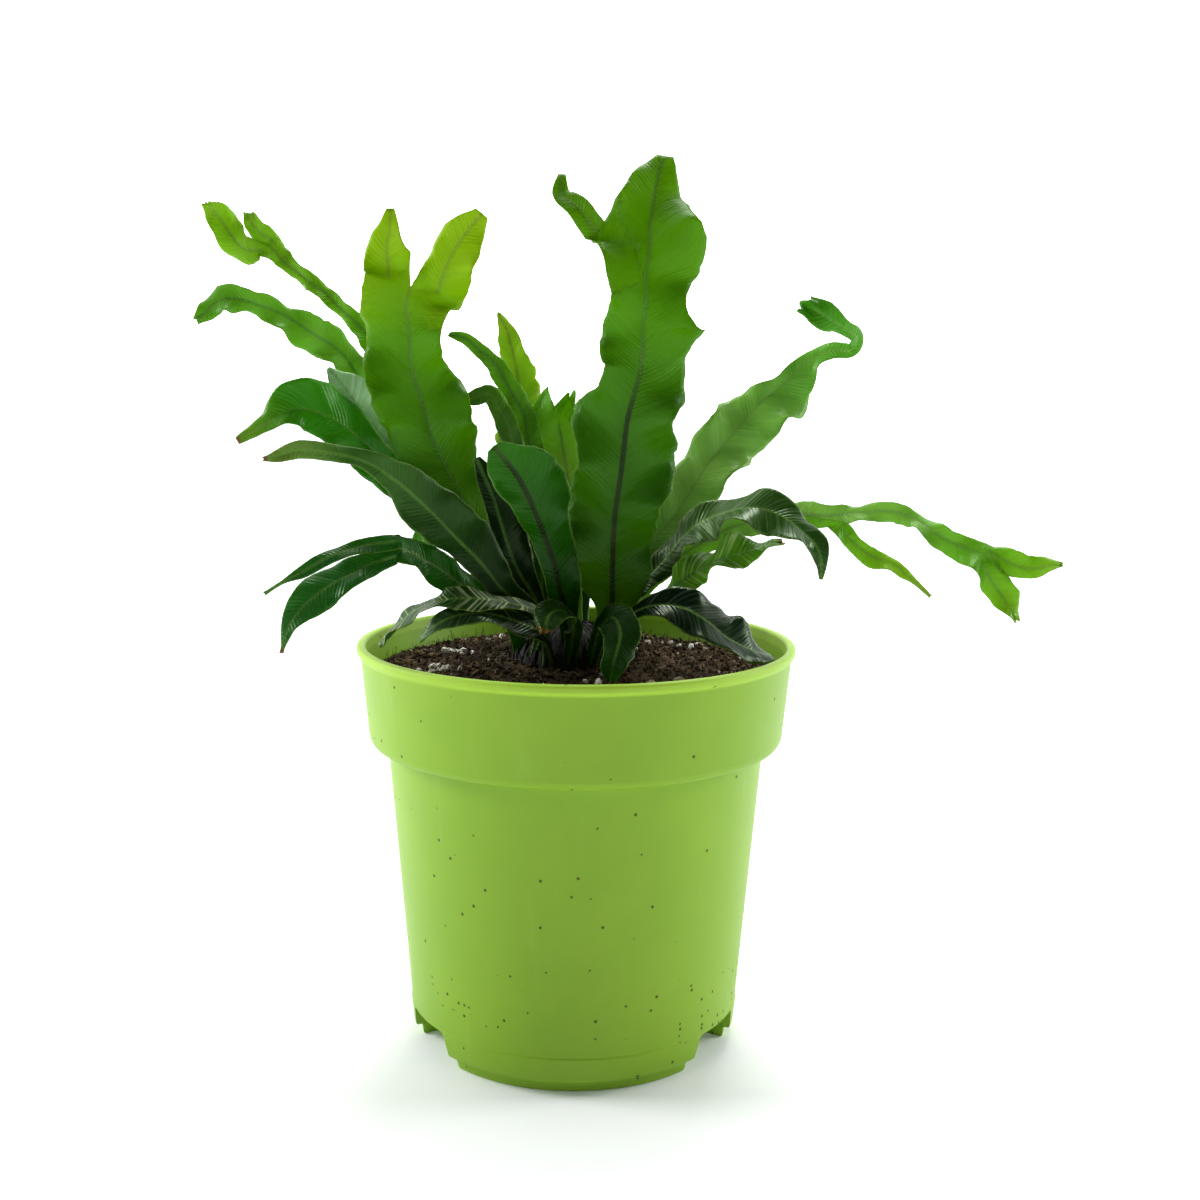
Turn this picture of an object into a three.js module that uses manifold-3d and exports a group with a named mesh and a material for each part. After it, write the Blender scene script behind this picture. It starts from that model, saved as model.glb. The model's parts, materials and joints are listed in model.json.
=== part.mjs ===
// Potted bird's nest fern: a wavy, crested fern in a thin-walled round nursery pot.
// Millimetres, +Z up. The origin is on the ground at the middle of the pot's foot;
// -Y is the side that the photograph shows and +X is its right.
import * as THREE from 'three';
import { mergeVertices } from 'three/addons/utils/BufferGeometryUtils.js';
import Module from 'manifold-3d';

// Driving dimensions of the pot: radii and heights of its outside, from the ground up.
const WALL = 1.4;
const FOOT_RADIUS = 43.1;
const LIP_RADIUS = 45.4;
const LIP_HEIGHT = 3.6;
const MOULD_LINE_HEIGHT = 10.2;
const BODY_TOP_RADIUS = 51.9;
const BAND_FOOT_HEIGHT = 84.3;
const BAND_FOOT_RADIUS = 56.9;
const BAND_TOP_RADIUS = 59;
const BEAD_RADIUS = 60;
const BEAD_DEPTH = 2.6;
const RIM_HEIGHT = 111;
const FLOOR = 1.8;
const DRAFT = 0.4;
const MOULD_LINE_STEP = 0.2;
const CORNER = 0.8;
const POT_SIDES = 48;

// The three air and drain recesses of the foot, a third of a turn apart. The ends of each lean.
const RECESS_TURNS = [-30, 90, 210];
const RECESS_HALF_WIDTH = 12;
const RECESS_TOP_HALF_WIDTH = 9.4;
const RECESS_HEIGHT = 10.2;
const RECESS_INNER_RADIUS = 34;
const DRAIN_SLOT_WIDTH = 4.5;
const DRAIN_SLOT_LENGTH = 11;
const CUT_BEYOND = 8;

// The peat: it slopes up from the wall to the crown in the middle.
const SOIL_EDGE_HEIGHT = 102.5;
const SOIL_CENTRE_HEIGHT = 107;
const SOIL_LUMP = 0.8;
const SOIL_GAP = 0.4;
const SOIL_RINGS = 7;
const SOIL_SIDES = 36;

// The crown: the scaly foot of the fern, sunk in a plain hole in the peat.
const CROWN_X = -1;
const CROWN_Y = -3;
const CROWN_RADIUS = 18;
const CROWN_BOTTOM = 98;
const CROWN_TOP = 117;
const CROWN_DOME = 12;
const CROWN_RINGS = 4;
const CROWN_SIDES = 24;
const CROWN_SCALE = 0.9;
const CROWN_CLOSING = 0.9;
const SOCKET_GAP = 0.35;

// Fronds: one blade is a welded sheet about its midrib, with these measures.
const BLADE_THICKNESS = 0.7;
const RIB_THICKNESS = 1;
const STALK_THICKNESS = 2.4;
const STALK_LENGTH = 16;
const STALK_HALF_WIDTH = 1.5;
const FOOT_HEIGHT = 106;
const LEAST_HALF_WIDTH = 0.5;
const RIB_LENGTH = 110;
const RIB_LEAST = 0.2;
const HALF_COLUMNS = 3;
const ROW_STEP = 6;
const BLADE_FOLD = 10;
const RUFFLE_START = 16;
const RUFFLE_LAG = 0.4;
const RUFFLE_AT_RIB = 0.35;

// The fronds. Each has its foot on the crown as [radius, azimuth in degrees], the direction its
// blade faces, its ruffle in degrees of tilt at the margins and millimetres of wavelength, and
// stations along its midrib: [x, y, z, left half-width, right half-width, roll in degrees].
// A lobe grows from a share of its blade's end, -1 to 1 across, or from a stretch of one margin.
const FRONDS = {
  frond_tall: {
    foot: [9, -42],
    face: [0, -1, 0.1],
    color: 0x3f8a1c,
    ruffle: { left: 30, right: 34, length: 24, leftPhase: 0, rightPhase: 150 },
    stations: [
      [8, -8, 118, 2.5, 2.5, 0],
      [9.5, -10, 123, 5.5, 6, 0],
      [9.5, -12, 130, 9.5, 10, 0],
      [9.5, -15, 138.5, 12, 10.5, 0],
      [10, -17, 146.5, 12.5, 11.5, 0],
      [11, -19, 156, 12.5, 13.5, 0],
      [12, -20, 164.5, 12.5, 14.5, 0],
      [13, -21, 172.5, 14.5, 12.5, 0],
      [14.5, -22, 179, 9.5, 13, 0],
      [16, -22, 185, 10.5, 12, 0],
      [16.5, -23, 191, 11, 12.5, 0],
      [16.5, -23, 195.5, 10.5, 16.5, 0],
      [17, -24, 201.5, 9, 10.5, 0],
      [17, -23, 209, 11.5, 13, 0],
      [18, -22, 215.5, 14.5, 14.5, 0],
      [18, -20, 220.5, 12.5, 12.5, 0],
      [18.5, -18, 225.5, 9.5, 9.5, 0],
      [19.5, -15, 232, 6.5, 6.5, 0],
      [21.5, -12, 238.5, 2, 2.5, 0],
    ],
    lobes: [
      {
        side: 'left',
        from: 111,
        to: 118,
        stations: [
          [-0.5, -19, 225, 3, 3, 0],
          [-4.5, -16, 228.5, 2.5, 2.5, 0],
          [-4.5, -14, 233.5, 1, 1, 0],
        ],
      },
    ],
  },
  frond_forked: {
    foot: [5, 178],
    face: [0, -1, 0],
    color: 0x5aa51e,
    ruffle: { left: 28, right: 32, length: 26, leftPhase: 40, rightPhase: 200 },
    stations: [
      [-10.5, -1, 121, 2, 2, 0],
      [-17, -1, 132, 4, 4, 0],
      [-24.5, 0, 142, 7, 6, 0],
      [-31.5, 0, 150, 10, 7.5, 0],
      [-35.5, -1, 158, 11, 9, 0],
      [-39, -2, 166, 12, 13, 0],
      [-41, -3, 173, 12.5, 13.5, 0],
      [-43, -4, 179.5, 13, 11, 0],
      [-44.5, -5, 186, 12.5, 9, 0],
      [-44.5, -6, 192, 12, 9.5, 0],
      [-45, -7, 197.5, 12, 11, 0],
      [-45, -8, 202, 12, 13, 0],
      [-44, -8, 205.5, 12, 14.5, 0],
    ],
    lobes: [
      {
        end: [-1, 0],
        stations: [
          [-49.5, -9, 209.5, 6.5, 5.5, 0],
          [-49.5, -10, 215.5, 5.5, 6, 0],
          [-48.5, -11, 220.5, 3.5, 2.5, 0],
          [-48.5, -11, 225, 1, 1, 0],
        ],
      },
      {
        end: [0, 1],
        stations: [
          [-34, -9, 211.5, 5.5, 7.5, 0],
          [-31, -10, 216.5, 6, 7, 0],
          [-28, -11, 220.5, 4.5, 4.5, 0],
          [-25, -12, 224, 2, 2, 0],
        ],
      },
    ],
  },
  frond_right: {
    foot: [6, 5],
    face: [0, -1, 0.3],
    color: 0x4f9a22,
    ruffle: { left: 44, right: 44, length: 22, leftPhase: 20, rightPhase: 170 },
    stations: [
      [12, 2, 123, 2.5, 2.5, 0],
      [18, 3, 133, 5, 5, 0],
      [24, 5, 141.5, 5.5, 6, 0],
      [30.5, 7, 151, 7, 7.5, 0],
      [37, 9, 160.5, 8, 8.5, 0],
      [43.5, 11, 168.5, 8.5, 9.5, 0],
      [50, 13, 175.5, 6.5, 10.5, 0],
      [56, 14, 181, 3, 10.5, 0],
      [60.5, 14, 185, 3, 7, 0],
      [65, 14, 188.5, 3, 3.5, 0],
      [69.5, 12, 190.5, 2.5, 2.5, 0],
      [74.5, 8, 191, 2, 2, 0],
      [75, 4, 194, 2, 2, 0],
      [70, 0, 197, 2.5, 2.5, -30],
      [65, -2, 199.5, 4, 4, -30],
      [60, -1, 203, 3.5, 2.5, -30],
    ],
  },
  frond_droop_right: {
    foot: [14, -6],
    face: [0, -0.75, 0.8],
    color: 0x1f4f1e,
    ruffle: { left: 30, right: 36, length: 20, leftPhase: 0, rightPhase: 120 },
    stations: [
      [17, -1, 125, 2.5, 2.5, 0],
      [24.5, -4, 135, 4, 5, 0],
      [32, -9, 144, 5, 6.5, 0],
      [39.5, -14, 148, 6, 7.5, 0],
      [47.5, -19, 149.5, 6, 7.5, 0],
      [53.5, -22, 147.5, 5.5, 6.5, 0],
      [58, -24, 144, 4.5, 5.5, 0],
      [61.5, -25, 140.5, 3.5, 3, 0],
      [63, -25, 136, 1.5, 1.5, 0],
      [63, -25, 132, 0.5, 0.5, 0],
    ],
  },
  frond_far_right: {
    foot: [14, 17],
    face: [0, -1, 0.35],
    color: 0x3f8a2a,
    halfColumns: 2,
    ruffle: { left: 48, right: 48, length: 18, leftPhase: 0, rightPhase: 160 },
    stations: [
      [17.5, 8, 123.5, 2.5, 2.5, 0],
      [28.5, 8, 133.5, 3.5, 3.5, 0],
      [39.5, 6, 140.5, 4, 4, 0],
      [50, 3, 144.5, 4, 4, 0],
      [60, 0, 146.5, 4, 4, 0],
      [68.5, -3, 146.5, 3, 3.5, 0],
      [76, -7, 147.5, 2.5, 3, 0],
      [83.5, -11, 148.5, 2.5, 3, 0],
      [89, -14, 146.5, 2.5, 3, 0],
      [93.5, -18, 143.5, 3, 3.5, 0],
      [99.5, -20, 140.5, 3, 4, 0],
      [105, -23, 138.5, 4.5, 6.5, 0],
    ],
    lobes: [
      {
        end: [-1, 0],
        stations: [
          [111, -24, 137, 3.5, 3.5, 0],
          [116.5, -26, 135.5, 3.5, 2.5, 0],
          [120.5, -28, 136.5, 2.5, 2, 0],
          [123.5, -29, 137, 0.5, 0.5, 0],
        ],
      },
      {
        end: [0, 1],
        stations: [
          [107.5, -24, 131.5, 4, 3.5, 0],
          [110.5, -25, 127, 4.5, 3, 0],
          [113.5, -26, 122, 1, 1, 0],
        ],
      },
      {
        side: 'right',
        from: 78,
        to: 84,
        stations: [
          [74.5, -5, 139.5, 2, 2.5, 0],
          [79, -6, 136, 2.5, 3, 0],
          [84.5, -7, 134, 2, 3, 0],
          [90, -8, 130, 1, 1, 0],
          [95, -9, 125.5, 0.5, 0.5, 0],
        ],
      },
    ],
  },
  frond_crumpled: {
    foot: [13.5, -22],
    face: [0, -0.7, 0.8],
    color: 0x2a5c20,
    ruffle: { left: 60, right: 52, length: 15, leftPhase: 0, rightPhase: 140 },
    stations: [
      [15.5, -5, 120.5, 2, 2, 0],
      [22.5, -10, 124.5, 3, 3, 0],
      [30, -14, 131, 5, 4, 0],
      [36.5, -16, 135, 7.5, 4.5, 0],
      [43, -17, 137.5, 6, 4, 0],
      [49, -17, 139.5, 3, 2.5, 0],
      [54, -16, 140.5, 1, 1, 0],
    ],
  },
  frond_back_crest: {
    foot: [5, 75],
    face: [0, -1, 0],
    color: 0x4c9424,
    ruffle: { left: 34, right: 36, length: 20, leftPhase: 0, rightPhase: 90 },
    stations: [
      [-2, 14, 130, 3.5, 3, 0],
      [-3, 17, 144, 5.5, 3.5, 0],
      [-3.5, 18, 156, 8.5, 4, 0],
      [-5, 20, 165, 9.5, 5, 0],
      [-6, 19, 170.5, 8.5, 6, 0],
      [-4, 15, 176, 6.5, 6.5, 0],
    ],
  },
  frond_back_narrow: {
    foot: [9.5, 98],
    face: [0, -1, 0],
    color: 0x55a022,
    halfColumns: 2,
    ruffle: { left: 34, right: 34, length: 18, leftPhase: 0, rightPhase: 120 },
    stations: [
      [-8, 18, 130.5, 3, 3, 0],
      [-12, 22, 146, 5, 4.5, 0],
      [-15.5, 25, 161, 8, 5.5, 0],
      [-17, 26, 173, 7, 6, 0],
      [-18, 27, 183, 6, 5.5, 0],
      [-19.5, 27, 190.5, 4, 3.5, 0],
      [-21.5, 27, 196.5, 2.5, 2, 0],
      [-23.5, 26, 200.5, 0.5, 0.5, 0],
    ],
  },
  frond_back_ribbon: {
    foot: [9, 128],
    face: [0, -1, 0.2],
    color: 0x4a8f26,
    halfColumns: 2,
    ruffle: { left: 40, right: 40, length: 16, leftPhase: 0, rightPhase: 160 },
    stations: [
      [-8, 10, 132, 2, 2, 0],
      [-10.5, 12, 148.5, 3, 3, 0],
      [-13.5, 13, 162.5, 4, 4, 0],
      [-16, 13, 173, 3.5, 3.5, 0],
      [-20, 13, 180.5, 3, 3, 0],
      [-23.5, 13, 186, 3, 2.5, 0],
      [-28, 13, 190, 2, 2, 0],
      [-31.5, 13, 193, 2, 1.5, 0],
      [-36, 13, 194, 1, 1, 0],
    ],
  },
  frond_small_left: {
    foot: [9.5, 158],
    face: [0, -1, 0.2],
    color: 0x4a8f26,
    halfColumns: 2,
    ruffle: { left: 30, right: 30, length: 16, leftPhase: 0, rightPhase: 90 },
    stations: [
      [-10.5, 6, 132.5, 2, 2, 0],
      [-14, 7, 149, 2.5, 2.5, 0],
      [-17.5, 8, 162.5, 3, 3, 0],
      [-21, 8, 172, 3, 3, 0],
      [-25, 8, 178, 2.5, 2.5, 0],
      [-29.5, 8, 176.5, 2, 2, 0],
      [-33.5, 8, 176, 0.5, 0.5, 0],
    ],
  },
  frond_grey_curl: {
    foot: [11.5, -148],
    face: [0, -1, 0.2],
    color: 0x4a7a4a,
    ruffle: { left: 36, right: 34, length: 24, leftPhase: 0, rightPhase: 120 },
    stations: [
      [-12, -13, 121, 2.5, 2.5, 0],
      [-19, -17, 127, 3.5, 4, 0],
      [-25, -20, 135, 4, 7, 0],
      [-31, -24, 142, 5, 9, 0],
      [-38, -29, 150, 7, 7, 0],
      [-45, -33, 157, 3.5, 5.5, 0],
      [-53, -37, 162, 2, 3, 0],
      [-61, -40, 164, 2, 2.5, 0],
      [-67, -42, 164.5, 2, 2.5, 0],
      [-72, -44, 163, 1.5, 1.5, 0],
      [-75, -44, 162.5, 0.5, 0.5, 0],
    ],
  },
  frond_front: {
    foot: [9, -100],
    face: [0, -1, 0.1],
    color: 0x2f7a1c,
    ruffle: { left: 30, right: 30, length: 22, leftPhase: 0, rightPhase: 150 },
    stations: [
      [-2.5, -16, 120.5, 2.5, 3, 0],
      [-4, -19, 127, 3.5, 5.5, 0],
      [-5.5, -22, 134, 3.5, 6.5, 0],
      [-7.5, -24, 141, 4, 7, 0],
      [-9.5, -26, 146.5, 4.5, 8.5, 0],
      [-12, -28, 152.5, 5.5, 11, 0],
      [-15, -30, 158.5, 6.5, 10, 0],
      [-18, -31, 162.5, 5.5, 6.5, 0],
      [-20.5, -32, 165.5, 2, 2, 0],
    ],
  },
  frond_dark: {
    foot: [6, -140],
    face: [0, -1, 0],
    color: 0x174a14,
    halfColumns: 2,
    ruffle: { left: 20, right: 20, length: 22, leftPhase: 0, rightPhase: 90 },
    stations: [
      [-11, -7, 123, 2.5, 2.5, 0],
      [-16.5, -9, 133, 3.5, 5, 0],
      [-19.5, -10, 142, 3.5, 6.5, 0],
      [-21.5, -11, 149, 3, 6.5, 0],
      [-24, -12, 155.5, 2.5, 4, 0],
      [-26.5, -12, 161.5, 1, 1, 0],
    ],
  },
  frond_left: {
    foot: [13.5, 183],
    face: [0, -1, 0.4],
    color: 0x2f7020,
    ruffle: { left: 32, right: 36, length: 24, leftPhase: 0, rightPhase: 100 },
    stations: [
      [-20.5, 4, 127.5, 2.5, 2.5, 0],
      [-34, 4, 141.5, 5, 3.5, 0],
      [-47.5, 3, 154.5, 6.5, 3, 0],
      [-58, 3, 164, 7.5, 4.5, 0],
      [-67, -1, 171.5, 6.5, 8.5, 0],
      [-75, -4, 173.5, 5.5, 8, 0],
      [-83, -6, 169.5, 2.5, 3.5, 0],
      [-90.5, -7, 165, 1, 1, 0],
    ],
  },
  frond_gloss: {
    foot: [14, 168],
    face: [0, -1, 0.2],
    color: 0x3f8030,
    ruffle: { left: 34, right: 34, length: 22, leftPhase: 0, rightPhase: 120 },
    stations: [
      [-21, 8, 133.5, 3, 3, 0],
      [-38, 9, 149.5, 5, 5, 0],
      [-48.5, 9, 160, 6.5, 6, 0],
      [-55, 9, 166.5, 6.5, 5.5, 0],
      [-59.5, 8, 172.5, 6.5, 5.5, 0],
      [-63.5, 7, 178.5, 5, 5.5, 0],
      [-66.5, 6, 182, 2.5, 2.5, 0],
      [-68.5, 6, 184.5, 0.5, 0.5, 0],
    ],
  },
  frond_ribbon_high: {
    foot: [13.5, 134],
    face: [0, -1, 0.1],
    color: 0x57a024,
    halfColumns: 2,
    ruffle: { left: 56, right: 56, length: 17, leftPhase: 0, rightPhase: 160 },
    stations: [
      [-22, 20, 139, 2.5, 2.5, 0],
      [-38.5, 24, 162.5, 3.5, 3.5, 0],
      [-53, 28, 182, 3.5, 3.5, 0],
      [-61.5, 30, 194, 3.5, 3.5, 0],
      [-66.5, 31, 199, 2.5, 3, 0],
      [-72.5, 32, 204.5, 2.5, 2.5, 0],
      [-77.5, 33, 208.5, 2.5, 2.5, 0],
      [-82, 34, 212, 2.5, 2.5, 0],
      [-85.5, 34, 214.5, 2.5, 3, 0],
      [-90, 34, 219, 4.5, 4.5, 0],
    ],
    lobes: [
      {
        end: [0, 1],
        stations: [
          [-93, 33, 223.5, 3.5, 3.5, 0],
          [-95.5, 33, 228, 1.5, 1.5, 0],
        ],
      },
      {
        end: [-1, 0],
        stations: [
          [-96.5, 33, 218, 4.5, 4, 0],
          [-101, 33, 222.5, 4.5, 4.5, 0],
          [-104.5, 32, 227.5, 3.5, 4.5, 0],
          [-107, 31, 230.5, 1.5, 1, 0],
        ],
      },
    ],
  },
  frond_ribbon_low: {
    foot: [14, 151],
    face: [0, -1, 0.2],
    color: 0x4a8f28,
    ruffle: { left: 54, right: 54, length: 19, leftPhase: 0, rightPhase: 160 },
    stations: [
      [-22, 14, 133.5, 2.5, 2.5, 0],
      [-40, 17, 155, 3.5, 3.5, 0],
      [-52, 18, 170.5, 4, 4, 0],
      [-59.5, 18, 179, 4.5, 4, 0],
      [-64, 18, 185, 5, 4, 0],
      [-68.5, 18, 190, 5, 5, 0],
      [-75.5, 18, 194.5, 6, 5.5, 0],
      [-82, 17, 198.5, 5, 3.5, 0],
      [-88.5, 16, 201.5, 3.5, 3.5, 0],
      [-93.5, 15, 203, 3.5, 3.5, 0],
      [-99, 14, 202.5, 5.5, 5, 0],
      [-103, 13, 199.5, 3, 3, 0],
      [-105.5, 12, 197, 1, 1, 0],
    ],
  },
  frond_droop_left: {
    foot: [14.5, -161],
    face: [0, -1, 0.6],
    color: 0x1f5528,
    halfColumns: 2,
    ruffle: { left: 30, right: 30, length: 20, leftPhase: 0, rightPhase: 120 },
    stations: [
      [-18, -11, 119, 2.5, 2.5, 0],
      [-25.5, -13, 124.5, 3.5, 3.5, 0],
      [-33, -17, 130.5, 4.5, 4.5, 0],
      [-39.5, -21, 135.5, 4.5, 4.5, 0],
      [-45, -26, 139, 4, 4.5, 0],
    ],
    lobes: [
      {
        end: [0, 1],
        stations: [
          [-50, -28, 140.5, 2.5, 2, 0],
          [-56, -32, 139.5, 2.5, 2, 0],
          [-62, -36, 137.5, 2, 2, 0],
          [-68, -39, 134, 1.5, 1.5, 0],
          [-72, -41, 132, 0.5, 0.5, 0],
          [-76, -42, 129.5, 0, 0, 0],
        ],
      },
      {
        end: [-1, 0],
        stations: [
          [-51, -28, 135.5, 3, 3, 0],
          [-56.5, -32, 133, 4.5, 4.5, 0],
          [-63.5, -35, 129, 5, 5.5, 0],
          [-68, -38, 125, 4, 4, 0],
          [-71, -40, 120, 2, 2, 0],
          [-72.5, -41, 114.5, 0, 0, 0],
        ],
      },
    ],
  },
  frond_striped: {
    foot: [15, -134],
    face: [0, -0.6, 0.9],
    color: 0x3a6a38,
    ruffle: { left: 26, right: 26, length: 20, leftPhase: 0, rightPhase: 100 },
    stations: [
      [-9, -17, 120.5, 2.5, 2.5, 0],
      [-16.5, -24, 124.5, 3, 3, 0],
      [-25, -28, 126.5, 4, 3.5, 0],
      [-33, -28, 126, 4, 4, 0],
      [-40.5, -24, 123, 4, 3.5, 0],
      [-46, -19, 118.5, 3.5, 3, 0],
      [-50, -15, 114, 2.5, 2.5, 0],
      [-52.5, -14, 111.5, 1, 1, 0],
    ],
  },
  frond_low_left: {
    foot: [15, -112],
    face: [0, -0.6, 0.9],
    color: 0x3a6a38,
    halfColumns: 2,
    ruffle: { left: 26, right: 26, length: 20, leftPhase: 0, rightPhase: 100 },
    stations: [
      [-8.5, -24, 116.5, 3, 2.5, 0],
      [-17, -27, 121, 5.5, 3, 0],
      [-26, -30, 123, 3.5, 3, 0],
      [-32.5, -31, 121.5, 3, 3, 0],
      [-37, -31, 118.5, 2, 2, 0],
      [-39.5, -31, 116, 0.5, 0.5, 0],
    ],
  },
  frond_front_curl: {
    foot: [15, -93],
    face: [0, -0.7, 0.8],
    color: 0x4f7a3a,
    halfColumns: 2,
    ruffle: { left: 30, right: 30, length: 18, leftPhase: 0, rightPhase: 100 },
    stations: [
      [-1, -23, 119.5, 3, 3, 0],
      [-3.5, -28, 123.5, 5, 4.5, 0],
      [-6.5, -33, 123, 4.5, 4.5, 0],
      [-8, -35, 119.5, 1.5, 1.5, 0],
    ],
  },
  frond_front_droop: {
    foot: [15, -72],
    face: [0, -1, 0.5],
    color: 0x235c22,
    ruffle: { left: 30, right: 30, length: 18, leftPhase: 0, rightPhase: 100 },
    stations: [
      [7, -23, 119, 2.5, 3, 0],
      [10, -30, 122, 5, 5, 0],
      [11.5, -36, 119, 5, 4.5, 0],
      [10.5, -39, 115, 4.5, 3.5, 0],
      [9.5, -41, 111, 3, 3, 0],
      [9.5, -41, 108, 1, 1, 0],
    ],
  },
  frond_low_right: {
    foot: [14.5, -50],
    face: [0, -0.6, 0.9],
    color: 0x163f1c,
    ruffle: { left: 30, right: 26, length: 22, leftPhase: 0, rightPhase: 100 },
    stations: [
      [13.5, -19, 120.5, 2.5, 2.5, 0],
      [20, -22, 124, 4.5, 4.5, 0],
      [27.5, -24, 124, 6.5, 6, 0],
      [33.5, -25, 121, 8.5, 7, 0],
      [39, -25, 116.5, 8.5, 6.5, 0],
      [45.5, -23, 113, 6.5, 4.5, 0],
      [51.5, -19, 110.5, 2, 2, 0],
    ],
  },
  frond_rear: {
    foot: [14, 80],
    face: [0, -0.8, 0.5],
    color: 0x3f8a24,
    ruffle: { left: 36, right: 36, length: 24, leftPhase: 0, rightPhase: 120 },
    stations: [
      [1, 20, 124, 3, 3, 0],
      [3, 33, 144, 8, 8, 0],
      [5, 44, 160, 10.5, 10.5, 0],
      [7, 57, 170, 10, 10, 0],
      [8, 69, 171, 6, 6, 0],
      [8, 79, 166, 1, 1, 0],
    ],
  },
  frond_rear_left: {
    foot: [14.5, 117],
    face: [0.3, -0.7, 0.6],
    color: 0x2f7a24,
    ruffle: { left: 36, right: 36, length: 24, leftPhase: 60, rightPhase: 200 },
    stations: [
      [-12, 17, 122, 3, 3, 0],
      [-22, 31, 133, 7, 7, 0],
      [-33, 45, 139, 9, 9, 0],
      [-43, 57, 138, 8, 8, 0],
      [-50, 66, 131, 4, 4, 0],
      [-54, 71, 124, 1, 1, 0],
    ],
  },
  frond_rear_low: {
    foot: [14.5, 100],
    face: [0.1, -0.7, 0.7],
    color: 0x2a6a22,
    ruffle: { left: 30, right: 30, length: 22, leftPhase: 0, rightPhase: 160 },
    stations: [
      [-7, 21, 120, 3, 3, 0],
      [-11, 35, 130, 7, 7, 0],
      [-15, 49, 135, 9, 9, 0],
      [-19, 62, 131, 7, 7, 0],
      [-22, 73, 121, 2, 2, 0],
    ],
  },
  frond_rear_right: {
    foot: [14, 58],
    face: [-0.3, -0.7, 0.6],
    color: 0x35802a,
    ruffle: { left: 36, right: 36, length: 24, leftPhase: 90, rightPhase: 180 },
    stations: [
      [13, 15, 123, 3, 3, 0],
      [19, 29, 139, 7, 7, 0],
      [23, 43, 147, 8.5, 8.5, 0],
      [27, 56, 146, 7, 7, 0],
      [30, 66, 139, 2, 2, 0],
    ],
  },
};

const PLASTIC = { color: 0x8db83c, roughness: 0.45 };
const PEAT = { color: 0x3a2718, roughness: 0.95 };
const SCALES = { color: 0x2a1c12, roughness: 0.8 };
const LEAF_ROUGHNESS = 0.35;

const wasm = await Module();
wasm.setup();

// A closed geometry as a solid, and a solid as a geometry.
function solid(geometry) {
  const bare = geometry.clone();
  bare.deleteAttribute('normal');
  bare.deleteAttribute('uv');
  const merged = mergeVertices(bare, 1e-4);
  return new wasm.Manifold(new wasm.Mesh({
    numProp: 3,
    vertProperties: new Float32Array(merged.attributes.position.array),
    triVerts: new Uint32Array(merged.index.array),
  }));
}

function geometryOf(body) {
  const mesh = body.getMesh();
  return closed(Array.from(mesh.vertProperties), Array.from(mesh.triVerts));
}

function closed(coordinates, corners) {
  const geometry = new THREE.BufferGeometry();
  geometry.setAttribute('position', new THREE.Float32BufferAttribute(coordinates, 3));
  geometry.setIndex(corners);
  geometry.computeVertexNormals();
  return geometry;
}

// A body of revolution about +Z from [radius, height] points, which run up from the axis back to it.
function turned(points, sides = POT_SIDES) {
  const profile = points.map(([r, z]) => new THREE.Vector2(r, z));
  return new THREE.LatheGeometry(profile, sides).rotateX(Math.PI / 2);
}

// A repeatable value in -1..1 for whole numbers i and k.
function chance(i, k) {
  const [strideI, strideK, spread] = [12.9898, 78.233, 43758.5453];
  const s = Math.sin(i * strideI + k * strideK) * spread;
  return 2 * (s - Math.floor(s)) - 1;
}

const bodySlope = (BODY_TOP_RADIUS - LIP_RADIUS) / (BAND_FOOT_HEIGHT - LIP_HEIGHT);
const bodyRadius = (z) => LIP_RADIUS + bodySlope * (z - LIP_HEIGHT);
const beadFoot = RIM_HEIGHT - BEAD_DEPTH;
const bandSlope = (BAND_TOP_RADIUS - BAND_FOOT_RADIUS) / (beadFoot - BAND_FOOT_HEIGHT);
const bandRadius = (z) => BAND_FOOT_RADIUS + bandSlope * (z - BAND_FOOT_HEIGHT);

// The outside of the pot, from the middle of the foot up to the rim.
const potOutside = [
  [0, 0],
  [FOOT_RADIUS, 0],
  [FOOT_RADIUS + DRAFT, LIP_HEIGHT],
  [LIP_RADIUS, LIP_HEIGHT],
  [bodyRadius(MOULD_LINE_HEIGHT) + MOULD_LINE_STEP, MOULD_LINE_HEIGHT],
  [bodyRadius(MOULD_LINE_HEIGHT), MOULD_LINE_HEIGHT + 2 * MOULD_LINE_STEP],
  [BODY_TOP_RADIUS, BAND_FOOT_HEIGHT],
  [BAND_FOOT_RADIUS - 2 * CORNER, BAND_FOOT_HEIGHT],
  [BAND_FOOT_RADIUS - CORNER / 2, BAND_FOOT_HEIGHT + CORNER],
  [BAND_FOOT_RADIUS, BAND_FOOT_HEIGHT + 3 * CORNER],
  [BAND_TOP_RADIUS, beadFoot],
  [BEAD_RADIUS, beadFoot + CORNER],
  [BEAD_RADIUS, RIM_HEIGHT - CORNER],
  [BEAD_RADIUS - CORNER, RIM_HEIGHT],
];

// The inside, from the middle of the floor up to the rim, one wall in from the outside.
const potInside = [
  [0, FLOOR],
  [FOOT_RADIUS - WALL, FLOOR],
  [bodyRadius(LIP_HEIGHT + WALL) - WALL, LIP_HEIGHT + WALL],
  [BODY_TOP_RADIUS - WALL, BAND_FOOT_HEIGHT - CORNER / 2],
  [BAND_FOOT_RADIUS - WALL - CORNER, BAND_FOOT_HEIGHT + WALL],
  [BAND_TOP_RADIUS - WALL, RIM_HEIGHT],
];

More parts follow.
